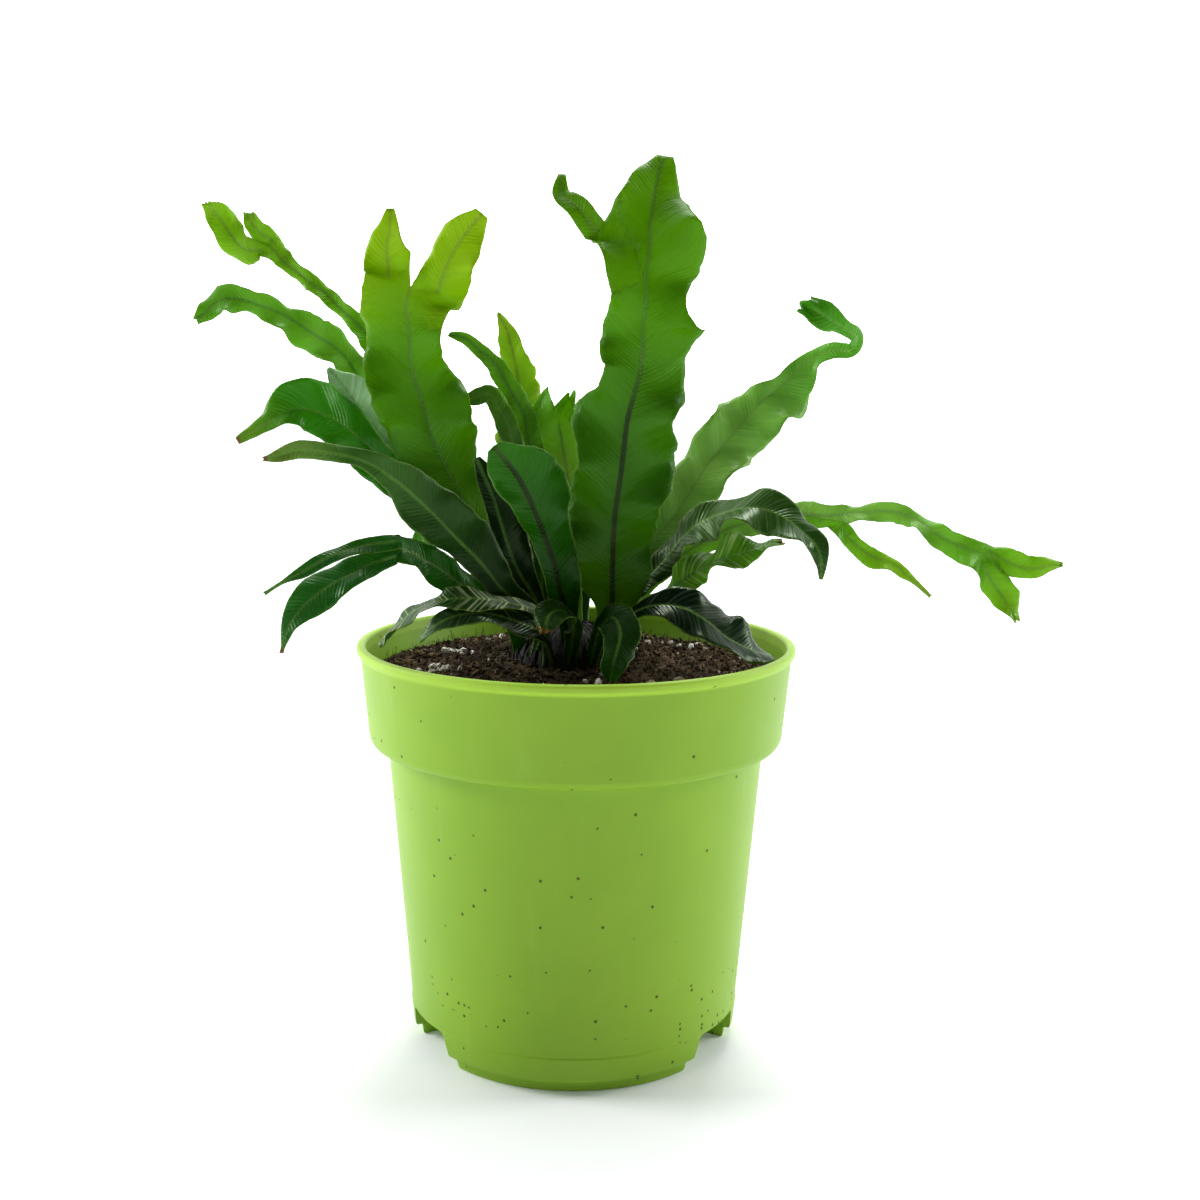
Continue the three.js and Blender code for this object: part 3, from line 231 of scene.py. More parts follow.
# foot is the radius and azimuth on the crown, face the way the blade looks, and ruffle the tilt at
# the left and right margins in degrees, the length of a wave, and the phases of the two margins.
FRONDS = {
    "frond_tall": leaf(
        "8 -8 118 2.5, 9.5 -10 123 5.5 6, 9.5 -12 130 9.5 10, 9.5 -15 138.5 12 10.5, "
        "10 -17 146.5 12.5 11.5, 11 -19 156 12.5 13.5, 12 -20 164.5 12.5 14.5, 13 -21 172.5 14.5 12.5, "
        "14.5 -22 179 9.5 13, 16 -22 185 10.5 12, 16.5 -23 191 11 12.5, 16.5 -23 195.5 10.5 16.5, "
        "17 -24 201.5 9 10.5, 17 -23 209 11.5 13, 18 -22 215.5 14.5, 18 -20 220.5 12.5, "
        "18.5 -18 225.5 9.5, 19.5 -15 232 6.5, 21.5 -12 238.5 2 2.5",
        leaf("-0.5 -19 225 3, -4.5 -16 228.5 2.5, -4.5 -14 233.5 1", side="left", span=(111, 118)),
        foot=(9, -42), face=(0, -1, 0.1), ruffle=(30, 34, 24, 0, 150),
    ),
    "frond_forked": leaf(
        "-10.5 -1 121 2, -17 -1 132 4, -24.5 0 142 7 6, -31.5 0 150 10 7.5, -35.5 -1 158 11 9, "
        "-39 -2 166 12 13, -41 -3 173 12.5 13.5, -43 -4 179.5 13 11, -44.5 -5 186 12.5 9, "
        "-44.5 -6 192 12 9.5, -45 -7 197.5 12 11, -45 -8 202 12 13, -44 -8 205.5 12 14.5",
        leaf(
            "-49.5 -9 209.5 6.5 5.5, -49.5 -10 215.5 5.5 6, -48.5 -11 220.5 3.5 2.5, -48.5 -11 225 1",
            end=(-1, 0),
        ),
        leaf("-34 -9 211.5 5.5 7.5, -31 -10 216.5 6 7, -28 -11 220.5 4.5, -25 -12 224 2", end=(0, 1)),
        foot=(5, 178), face=(0, -1, 0), ruffle=(28, 32, 26, 40, 200),
    ),
    "frond_right": leaf(
        "12 2 123 2.5, 18 3 133 5, 24 5 141.5 5.5 6, 30.5 7 151 7 7.5, 37 9 160.5 8 8.5, "
        "43.5 11 168.5 8.5 9.5, 50 13 175.5 6.5 10.5, 56 14 181 3 10.5, 60.5 14 185 3 7, "
        "65 14 188.5 3 3.5, 69.5 12 190.5 2.5, 74.5 8 191 2, 75 4 194 2, 70 0 197 2.5 2.5 -30, "
        "65 -2 199.5 4 4 -30, 60 -1 203 3.5 2.5 -30",
        foot=(6, 5), face=(0, -1, 0.3), ruffle=(44, 44, 22, 20, 170),
    ),
    "frond_droop_right": leaf(
        "17 -1 125 2.5, 24.5 -4 135 4 5, 32 -9 144 5 6.5, 39.5 -14 148 6 7.5, 47.5 -19 149.5 6 7.5, "
        "53.5 -22 147.5 5.5 6.5, 58 -24 144 4.5 5.5, 61.5 -25 140.5 3.5 3, 63 -25 136 1.5, "
        "63 -25 132 0.5",
        foot=(14, -6), face=(0, -0.75, 0.8), ruffle=(30, 36, 20, 0, 120),
    ),
    "frond_far_right": leaf(
        "17.5 8 123.5 2.5, 28.5 8 133.5 3.5, 39.5 6 140.5 4, 50 3 144.5 4, 60 0 146.5 4, "
        "68.5 -3 146.5 3 3.5, 76 -7 147.5 2.5 3, 83.5 -11 148.5 2.5 3, 89 -14 146.5 2.5 3, "
        "93.5 -18 143.5 3 3.5, 99.5 -20 140.5 3 4, 105 -23 138.5 4.5 6.5",
        leaf(
            "111 -24 137 3.5, 116.5 -26 135.5 3.5 2.5, 120.5 -28 136.5 2.5 2, 123.5 -29 137 0.5",
            end=(-1, 0),
        ),
        leaf("107.5 -24 131.5 4 3.5, 110.5 -25 127 4.5 3, 113.5 -26 122 1", end=(0, 1)),
        leaf(
            "74.5 -5 139.5 2 2.5, 79 -6 136 2.5 3, 84.5 -7 134 2 3, 90 -8 130 1, 95 -9 125.5 0.5",
            side="right", span=(78, 84),
        ),
        foot=(14, 17), face=(0, -1, 0.35), ruffle=(48, 48, 18, 0, 160),
    ),
    "frond_crumpled": leaf(
        "15.5 -5 120.5 2, 22.5 -10 124.5 3, 30 -14 131 5 4, 36.5 -16 135 7.5 4.5, 43 -17 137.5 6 4, "
        "49 -17 139.5 3 2.5, 54 -16 140.5 1",
        foot=(13.5, -22), face=(0, -0.7, 0.8), ruffle=(60, 52, 15, 0, 140),
    ),
    "frond_back_crest": leaf(
        "-2 14 130 3.5 3, -3 17 144 5.5 3.5, -3.5 18 156 8.5 4, -5 20 165 9.5 5, -6 19 170.5 8.5 6, "
        "-4 15 176 6.5",
        foot=(5, 75), face=(0, -1, 0), ruffle=(34, 36, 20, 0, 90),
    ),
    "frond_back_narrow": leaf(
        "-8 18 130.5 3, -12 22 146 5 4.5, -15.5 25 161 8 5.5, -17 26 173 7 6, -18 27 183 6 5.5, "
        "-19.5 27 190.5 4 3.5, -21.5 27 196.5 2.5 2, -23.5 26 200.5 0.5",
        foot=(9.5, 98), face=(0, -1, 0), ruffle=(34, 34, 18, 0, 120),
    ),
    "frond_back_ribbon": leaf(
        "-8 10 132 2, -10.5 12 148.5 3, -13.5 13 162.5 4, -16 13 173 3.5, -20 13 180.5 3, "
        "-23.5 13 186 3 2.5, -28 13 190 2, -31.5 13 193 2 1.5, -36 13 194 1",
        foot=(9, 128), face=(0, -1, 0.2), ruffle=(40, 40, 16, 0, 160),
    ),
    "frond_small_left": leaf(
        "-10.5 6 132.5 2, -14 7 149 2.5, -17.5 8 162.5 3, -21 8 172 3, -25 8 178 2.5, -29.5 8 176.5 2, "
        "-33.5 8 176 0.5",
        foot=(9.5, 158), face=(0, -1, 0.2), ruffle=(30, 30, 16, 0, 90),
    ),
    "frond_grey_curl": leaf(
        "-12 -13 121 2.5, -19 -17 127 3.5 4, -25 -20 135 4 7, -31 -24 142 5 9, -38 -29 150 7, "
        "-45 -33 157 3.5 5.5, -53 -37 162 2 3, -61 -40 164 2 2.5, -67 -42 164.5 2 2.5, -72 -44 163 1.5, "
        "-75 -44 162.5 0.5",
        foot=(11.5, -148), face=(0, -1, 0.2), ruffle=(36, 34, 24, 0, 120),
    ),
    "frond_front": leaf(
        "-2.5 -16 120.5 2.5 3, -4 -19 127 3.5 5.5, -5.5 -22 134 3.5 6.5, -7.5 -24 141 4 7, "
        "-9.5 -26 146.5 4.5 8.5, -12 -28 152.5 5.5 11, -15 -30 158.5 6.5 10, -18 -31 162.5 5.5 6.5, "
        "-20.5 -32 165.5 2",
        foot=(9, -100), face=(0, -1, 0.1), ruffle=(30, 30, 22, 0, 150),
    ),
    "frond_dark": leaf(
        "-11 -7 123 2.5, -16.5 -9 133 3.5 5, -19.5 -10 142 3.5 6.5, -21.5 -11 149 3 6.5, "
        "-24 -12 155.5 2.5 4, -26.5 -12 161.5 1",
        foot=(6, -140), face=(0, -1, 0), ruffle=(20, 20, 22, 0, 90),
    ),
    "frond_left": leaf(
        "-20.5 4 127.5 2.5, -34 4 141.5 5 3.5, -47.5 3 154.5 6.5 3, -58 3 164 7.5 4.5, "
        "-67 -1 171.5 6.5 8.5, -75 -4 173.5 5.5 8, -83 -6 169.5 2.5 3.5, -90.5 -7 165 1",
        foot=(13.5, 183), face=(0, -1, 0.4), ruffle=(32, 36, 24, 0, 100),
    ),
    "frond_gloss": leaf(
        "-21 8 133.5 3, -38 9 149.5 5, -48.5 9 160 6.5 6, -55 9 166.5 6.5 5.5, -59.5 8 172.5 6.5 5.5, "
        "-63.5 7 178.5 5 5.5, -66.5 6 182 2.5, -68.5 6 184.5 0.5",
        foot=(14, 168), face=(0, -1, 0.2), ruffle=(34, 34, 22, 0, 120),
    ),
    "frond_ribbon_high": leaf(
        "-22 20 139 2.5, -38.5 24 162.5 3.5, -53 28 182 3.5, -61.5 30 194 3.5, -66.5 31 199 2.5 3, "
        "-72.5 32 204.5 2.5, -77.5 33 208.5 2.5, -82 34 212 2.5, -85.5 34 214.5 2.5 3, -90 34 219 4.5",
        leaf("-93 33 223.5 3.5, -95.5 33 228 1.5", end=(0, 1)),
        leaf(
            "-96.5 33 218 4.5 4, -101 33 222.5 4.5, -104.5 32 227.5 3.5 4.5, -107 31 230.5 1.5 1",
            end=(-1, 0),
        ),
        foot=(13.5, 134), face=(0, -1, 0.1), ruffle=(56, 56, 17, 0, 160),
    ),
    "frond_ribbon_low": leaf(
        "-22 14 133.5 2.5, -40 17 155 3.5, -52 18 170.5 4, -59.5 18 179 4.5 4, -64 18 185 5 4, "
        "-68.5 18 190 5, -75.5 18 194.5 6 5.5, -82 17 198.5 5 3.5, -88.5 16 201.5 3.5, "
        "-93.5 15 203 3.5, -99 14 202.5 5.5 5, -103 13 199.5 3, -105.5 12 197 1",
        foot=(14, 151), face=(0, -1, 0.2), ruffle=(54, 54, 19, 0, 160),
    ),
    "frond_droop_left": leaf(
        "-18 -11 119 2.5, -25.5 -13 124.5 3.5, -33 -17 130.5 4.5, -39.5 -21 135.5 4.5, "
        "-45 -26 139 4 4.5",
        leaf(
            "-50 -28 140.5 2.5 2, -56 -32 139.5 2.5 2, -62 -36 137.5 2, -68 -39 134 1.5, "
            "-72 -41 132 0.5, -76 -42 129.5 0",
            end=(0, 1),
        ),
        leaf(
            "-51 -28 135.5 3, -56.5 -32 133 4.5, -63.5 -35 129 5 5.5, -68 -38 125 4, -71 -40 120 2, "
            "-72.5 -41 114.5 0",
            end=(-1, 0),
        ),
        foot=(14.5, -161), face=(0, -1, 0.6), ruffle=(30, 30, 20, 0, 120),
    ),
    "frond_striped": leaf(
        "-9 -17 120.5 2.5, -16.5 -24 124.5 3, -25 -28 126.5 4 3.5, -33 -28 126 4, -40.5 -24 123 4 3.5, "
        "-46 -19 118.5 3.5 3, -50 -15 114 2.5, -52.5 -14 111.5 1",
        foot=(15, -134), face=(0, -0.6, 0.9), ruffle=(26, 26, 20, 0, 100),
    ),
    "frond_low_left": leaf(
        "-8.5 -24 116.5 3 2.5, -17 -27 121 5.5 3, -26 -30 123 3.5 3, -32.5 -31 121.5 3, "
        "-37 -31 118.5 2, -39.5 -31 116 0.5",
        foot=(15, -112), face=(0, -0.6, 0.9), ruffle=(26, 26, 20, 0, 100),
    ),
    "frond_front_curl": leaf(
        "-1 -23 119.5 3, -3.5 -28 123.5 5 4.5, -6.5 -33 123 4.5, -8 -35 119.5 1.5",
        foot=(15, -93), face=(0, -0.7, 0.8), ruffle=(30, 30, 18, 0, 100),
    ),
    "frond_front_droop": leaf(
        "7 -23 119 2.5 3, 10 -30 122 5, 11.5 -36 119 5 4.5, 10.5 -39 115 4.5 3.5, 9.5 -41 111 3, "
        "9.5 -41 108 1",
        foot=(15, -72), face=(0, -1, 0.5), ruffle=(30, 30, 18, 0, 100),
    ),
    "frond_low_right": leaf(
        "13.5 -19 120.5 2.5, 20 -22 124 4.5, 27.5 -24 124 6.5 6, 33.5 -25 121 8.5 7, "
        "39 -25 116.5 8.5 6.5, 45.5 -23 113 6.5 4.5, 51.5 -19 110.5 2",
        foot=(14.5, -50), face=(0, -0.6, 0.9), ruffle=(30, 26, 22, 0, 100),
    ),
    "frond_rear": leaf(
        "1 20 124 3, 3 33 144 8, 5 44 160 10.5, 7 57 170 10, 8 69 171 6, 8 79 166 1",
        foot=(14, 80), face=(0, -0.8, 0.5), ruffle=(36, 36, 24, 0, 120),
    ),
    "frond_rear_left": leaf(
        "-12 17 122 3, -22 31 133 7, -33 45 139 9, -43 57 138 8, -50 66 131 4, -54 71 124 1",
        foot=(14.5, 117), face=(0.3, -0.7, 0.6), ruffle=(36, 36, 24, 60, 200),
    ),
    "frond_rear_low": leaf(
        "-7 21 120 3, -11 35 130 7, -15 49 135 9, -19 62 131 7, -22 73 121 2",
        foot=(14.5, 100), face=(0.1, -0.7, 0.7), ruffle=(30, 30, 22, 0, 160),
    ),
    "frond_rear_right": leaf(
        "13 15 123 3, 19 29 139 7, 23 43 147 8.5, 27 56 146 7, 30 66 139 2",
        foot=(14, 58), face=(-0.3, -0.7, 0.6), ruffle=(36, 36, 24, 90, 180),
    ),
}
print("fronds:", len(FRONDS), "stations:", sum(len(f["stations"]) for f in FRONDS.values()))

# %% [markdown]
# ## Following a route
# A smooth curve through the stations gives a row of values every millimetre. Splines from Blender
# would carry places only. A cubic with its own slopes carries the widths and the roll as well, and
# it is the same cubic that the CAD source uses.

# %% Rows along a route
CROWN_CENTRE = (-1, -3)
FOOT_HEIGHT = 106
STALK_HALF_WIDTH = 1.5
ROW_STEP = 1.0


def follow(stations):
    """Distances along the route and the stations' values there, row by row."""
    table = np.array(stations, float)
    spans = np.linalg.norm(np.diff(table[:, :3], axis=0), axis=1)
    knots = np.concatenate([[0], np.cumsum(spans)])
    slopes = np.diff(table, axis=0) / spans[:, None]
    before, after = spans[:-1, None], spans[1:, None]
    inner = (slopes[:-1] * after + slopes[1:] * before) / (before + after)
    gradients = np.vstack([slopes[:1], inner, slopes[-1:]])
    distances = np.linspace(0, knots[-1], max(2, round(knots[-1] / ROW_STEP)) + 1)
    k = np.clip(np.searchsorted(knots, distances, side="right") - 1, 0, len(spans) - 1)
    span = spans[k][:, None]
    u = (distances - knots[k])[:, None] / span
    p, q = table[k], table[k + 1]
    a, b = gradients[k] * span, gradients[k + 1] * span
    return distances, p + u * (a + u * (3 * (q - p) - 2 * a - b + u * (a + b - 2 * (q - p))))


def unit(vectors):
    return vectors / np.maximum(np.linalg.norm(vectors, axis=-1, keepdims=True), 1e-12)


def frames_along(points, face, rolls):
    """Along each point of a route: the direction, the blade's upward side and the way to its right."""
    ahead = np.vstack([points[1:], points[-1:]])
    behind = np.vstack([points[:1], points[:-1]])
    tangent = unit(ahead - behind)
    upward = np.array(face, float)
    normal = unit(upward - tangent * (tangent @ upward)[:, None])
    turn = np.radians(rolls)[:, None]
    normal = normal * np.cos(turn) + np.cross(tangent, normal) * np.sin(turn)
    return tangent, normal, np.cross(tangent, normal)


# %% [markdown]
# ## Growing a blade
# From each row the blade is laid out sideways in narrow columns, each tilted a little more or less
# than the last. Long waves of tilt make the ruffled margin. A finer ripple and small nicks are
# added here, which the CAD blade leaves out. Columns are narrow near the midrib, where the rib has
# to be round. A displacement texture could do the ruffle, but it would move points straight up
# and down, and a ruffle folds over.

# %% Blades
HALF_COLUMNS = 10
COLUMN_CROWDING = 1.35
LEAST_HALF_WIDTH = 0.5
BLADE_FOLD = 10
RUFFLE_START = 16
RUFFLE_LAG = 0.4
RUFFLE_AT_RIB = 0.35
RIPPLE_TILT = 9
RIPPLE_LENGTH = 7.3
CREST_REACH = 5.0
RIB_BRIDGE = 8


class Sheet:
    """The points and faces of a frond's blade before it gets its thickness."""

    def __init__(self, seed):
        self.points = []
        self.edges = []
        self.faces = []
        self.ribs = []
        self.seed = seed
        self.count = 0

    def add(self, points, to_margin):
        """Adds a grid of points and returns their numbers in the same grid."""
        self.points.append(points.reshape(-1, 3))
        self.edges.append(to_margin.reshape(-1))
        first = self.count
        self.count += points.shape[0] * points.shape[1]
        return np.arange(first, self.count).reshape(points.shape[:2])

    def face(self, *corners):
        """Adds a face, or a triangle where two of its corners are one point."""
        ring = list(dict.fromkeys(int(c) for c in corners))
        if len(ring) >= 3:
            self.faces.append(ring)


def column_edges():
    """Where the columns of half a blade end, as shares of its half-width, crowded at the midrib."""
    return (np.arange(HALF_COLUMNS + 1) / HALF_COLUMNS) ** COLUMN_CROWDING


def side_of_blade(sheet, route, side, widths, blade, start_at):
    """Points from the midrib out to one margin, and each point's distance from that margin."""
    points, (tangent, normal, across), distances = route
    ruffle, nicks = blade["ruffle"], blade["nicks"]
    amount, phase = (ruffle[0], ruffle[3]) if side < 0 else (ruffle[1], ruffle[4])
    travelled = start_at + distances
    nick = nicks * ragged(travelled, sheet.seed + side)
    half = np.maximum(widths * (1 + nick), LEAST_HALF_WIDTH)[:, None]
    bounds = column_edges()
    t = ((bounds[1:] + bounds[:-1]) / 2)[None, :]
    swell = np.clip((travelled - RUFFLE_START) / RUFFLE_START, 0, 1)[:, None]
    turn = (travelled[:, None] - RUFFLE_LAG * half * t) / ruffle[2]
    sway = np.sin(math.tau * turn + math.radians(phase))
    wave = amount * (RUFFLE_AT_RIB + (1 - RUFFLE_AT_RIB) * t) * sway
    fine = travelled[:, None] / RIPPLE_LENGTH + 0.37 * sheet.seed
    ripple = RIPPLE_TILT * t ** 2 * np.sin(math.tau * fine + 1.7 * np.sin(fine))
    tilt = np.radians(BLADE_FOLD * (1 - t) + swell * (wave + ripple))[..., None]
    reach = (half * np.diff(bounds)[None, :])[..., None]
    steps = side * reach * np.cos(tilt) * across[:, None] + reach * np.sin(tilt) * normal[:, None]
    return points[:, None] + np.cumsum(steps, axis=1), half * (1 - bounds[None, 1:])


def ragged(distances, seed):
    """A repeatable rough value about 0 along a margin."""
    rough = [noise.noise(Vector((0.45 * d, 3.1 * seed, 0))) for d in distances]
    sharp = [noise.noise(Vector((1.7 * d, 5.3 * seed, 9))) for d in distances]
    return np.array(rough) + 0.6 * np.array(sharp)


def crest(points, tangent, distances, teeth, seed):
    """Draws a blade's blunt end out into ragged lobes with narrow gaps between them."""
    half = np.linalg.norm(points[-1, -1] - points[-1, 0]) / 2
    reach = min(CREST_REACH, 0.8 * half)
    share = np.clip(1 - (distances[-1] - distances) / (2.5 * reach), 0, 1)[:, None, None] ** 1.5
    t = np.linspace(-1, 1, points.shape[1])
    lobes = np.abs(np.sin(math.pi * teeth * (t + 1) / 2 + 0.8 * seed)) ** 0.5
    lengths = reach * (lobes * (0.7 + 0.5 * np.sin(3.1 * t + seed)) - 0.4)
    curl = 0.5 * reach * np.sin(5.3 * t + seed)
    normal = np.cross(tangent, unit(points[:, -1] - points[:, 0]))
    moved = lengths[None, :, None] * tangent[:, None] + curl[None, :, None] * normal[:, None]
    return points + share * moved


def grow(sheet, blade, first_row=None, start_at=0.0, bridge=None):
    """Adds a blade and its lobes. A lobe starts from a row of points that its parent has already."""
    distances, values = follow(blade["stations"])
    points = values[:, :3]
    axes = frames_along(points, blade["face"], values[:, 5])
    route = (points, axes, distances)
    left, left_room = side_of_blade(sheet, route, -1, values[:, 3], blade, start_at)
    right, right_room = side_of_blade(sheet, route, 1, values[:, 4], blade, start_at)
    whole = np.concatenate([left[:, ::-1], points[:, None], right], axis=1)
    widest = np.maximum(values[:, 3:4], values[:, 4:5])
    room = np.concatenate([left_room[:, ::-1], widest, right_room], axis=1)
    if blade["teeth"] and not any("end" in lobe for lobe in blade["lobes"]):
        whole = crest(whole, axes[0], distances, blade["teeth"], sheet.seed)
    grid = sheet.add(whole, room)
    if first_row is not None:
        grid[0] = first_row
    for low, high in zip(grid[:-1], grid[1:]):
        for j in range(2 * HALF_COLUMNS):
            sheet.face(low[j], low[j + 1], high[j + 1], high[j])
    lead = [] if bridge is None else list(np.linspace(bridge, points[1], RIB_BRIDGE, endpoint=False))
    rib = np.array(lead + list(points[1:] if lead else points))
    ahead = np.linalg.norm(np.diff(rib, axis=0), axis=1)
    sheet.ribs.append((rib, start_at + distances[-1] - np.append(np.cumsum(ahead[::-1])[::-1], 0)))
    for lobe in blade["lobes"]:
        grow_lobe(sheet, blade, lobe, grid, route, start_at)


def grow_lobe(sheet, blade, lobe, grid, route, start_at):
    """Finds the row of the parent's points that a lobe starts from, then grows it."""
    points, _, distances = route
    last_row, last_column = grid.shape[0] - 1, grid.shape[1] - 1
    if "end" in lobe:
        ends = [(share + 1) / 2 * last_column for share in lobe["end"]]
        first = [grid[-1][round(c)] for c in np.linspace(*ends, last_column + 1)]
        bridge = points[max(0, last_row - RIB_BRIDGE)]
    else:
        low, high = [round(s / distances[-1] * last_row) for s in lobe["span"]]
        column, order = (0, (low, high)) if lobe["side"] == "left" else (last_column, (high, low))
        first = [grid[round(r)][column] for r in np.linspace(*order, last_column + 1)]
        bridge = points[max(0, low - RIB_BRIDGE)]
    placed = np.vstack(sheet.points)
    a, b = placed[first[0]], placed[first[-1]]
    half = np.linalg.norm(a - b) / 2
    start = station(*(a + b) / 2, half)
    child = {**{key: blade[key] for key in ("face", "ruffle", "teeth", "nicks")}, **lobe}
    child["stations"] = [start, *lobe["stations"]]
    grow(sheet, child, np.array(first), start_at + distances[-1], bridge)


# %% [markdown]
# ## From a sheet to a leaf
# The sheet gets a thickness, a raised midrib and soft ridges between the side veins, so that light
# breaks over it as on a real frond. Every point also learns how far it lies from the nearest
# midrib, how far along that midrib it is, and how near the margin. The material reads these three
# numbers as attributes, which suits a crinkled leaf better than a flat UV map would.

# %% Leaf thickness and attributes
BLADE_THICKNESS = 0.42
STALK_THICKNESS = 2.4
STALK_LENGTH = 16
RIB_HEIGHT = 0.9
RIB_WIDTH = 1.5
RIB_LENGTH = 110
PUCKER_HEIGHT = 0.6
PUCKER_SIZE = 8.0
RIDGE_HEIGHT = 0.07
RIDGE_SPACING = 4.1
VEIN_SLANT = 0.75
SMOOTH_BY_RIB, SMOOTH_BY_MARGIN = 2.5, 2
MARGIN_TAPER = 0.8
RIB_HEIGHT_ON_TOP = 0.12


def write_values(mesh, **attributes):
    """Gives a mesh named attributes with a number for each of its points."""
    for name, values in attributes.items():
        mesh.attributes.new(name, "FLOAT", "POINT").data.foreach_set("value", values)


def nearest_rib(points, ribs):
    """For each point, its distance from the nearest midrib and the way along that midrib."""
    rib = np.vstack([r for r, _ in ribs])
    along = np.concatenate([a for _, a in ribs])
    squared = ((points[:, None] - rib[None]) ** 2).sum(2)
    nearest = squared.argmin(1)
    return np.sqrt(squared[np.arange(len(points)), nearest]), along[nearest]


def sheet_normals(points, faces):
    """The way each point of a sheet looks, averaged over the faces round it."""
    normals = np.zeros_like(points)
    for ring in faces:
        corners = points[ring]
        normal = np.cross(corners[1] - corners[0], corners[2] - corners[0])
        if len(ring) == 4:
            normal = normal + np.cross(corners[2] - corners[0], corners[3] - corners[0])
        normals[ring] += normal
    return unit(normals)


def leaf_mesh(name, sheet, ridges):
    """A closed mesh with two faces and a rim from a sheet, with the three numbers at its points."""
    points = np.vstack(sheet.points)
    used = sorted({i for ring in sheet.faces for i in ring})
    renumber = np.full(len(points), -1)
    renumber[used] = np.arange(len(used))
    points = points[used]
    edge = np.concatenate(sheet.edges)[used]
    faces = [[int(renumber[i]) for i in ring] for ring in sheet.faces]
    rib, along = nearest_rib(points, sheet.ribs)
    normals = sheet_normals(points, faces)
    vein = (along - VEIN_SLANT * rib) / RIDGE_SPACING
    between = np.clip(rib / SMOOTH_BY_RIB, 0, 1) * np.clip(edge / SMOOTH_BY_MARGIN, 0, 1)
    sway = np.array([noise.noise(Vector(p * 0.11)) for p in points])
    down_vein = (along - VEIN_SLANT * rib) / PUCKER_SIZE
    slanted = np.column_stack([down_vein, rib / (6 * PUCKER_SIZE), 0 * rib])
    pucker = np.array([noise.noise(Vector(p)) for p in slanted + 0.012 * points])
    lift = PUCKER_HEIGHT * pucker + RIDGE_HEIGHT * np.sin(math.tau * vein + 4 * sway)
    points = points + normals * (ridges * between * lift)[:, None]
    stalk = np.clip(1 - along / STALK_LENGTH, 0, 1)
    half = (BLADE_THICKNESS + (STALK_THICKNESS - BLADE_THICKNESS) * stalk) / 2
    half = half * (0.45 + 0.55 * np.clip(edge / MARGIN_TAPER, 0, 1))
    swell = np.clip(1 - along / RIB_LENGTH, 0.14, 1)
    bulge = np.clip(1 - (rib / (RIB_WIDTH * (0.35 + 0.65 * swell))) ** 2, 0, 1) ** 1.5
    up = half + RIB_HEIGHT_ON_TOP * bulge * swell
    down = half + RIB_HEIGHT * bulge * swell
    count = len(points)
    body = np.vstack([points + normals * up[:, None], points - normals * down[:, None]])
    rings = [*faces, *([i + count for i in reversed(ring)] for ring in faces)]
    borders = {(a, b) for ring in faces for a, b in zip(ring, ring[1:] + ring[:1])}
    rings += [[b, a, a + count, b + count] for a, b in borders if (b, a) not in borders]
    mesh = bpy.data.meshes.new(name)
    mesh.from_pydata((body * MM).tolist(), [], rings)
    mesh.shade_smooth()
    write_values(mesh, rib=np.tile(rib, 2), along=np.tile(along, 2), edge=np.tile(edge, 2))
    write_values(mesh, under=np.repeat([0.0, 1.0], count))
    return mesh


# %% [markdown]
# ## Colours of the fronds
# Young blades are thin and yellow-green, old ones low in the nest are nearly black-green and shiny.
# Each frond gets its own colours from foot to tip, with marks that a few of them have: a dark
# midrib at the foot, cream streaks between the veins, and dry brown tips.

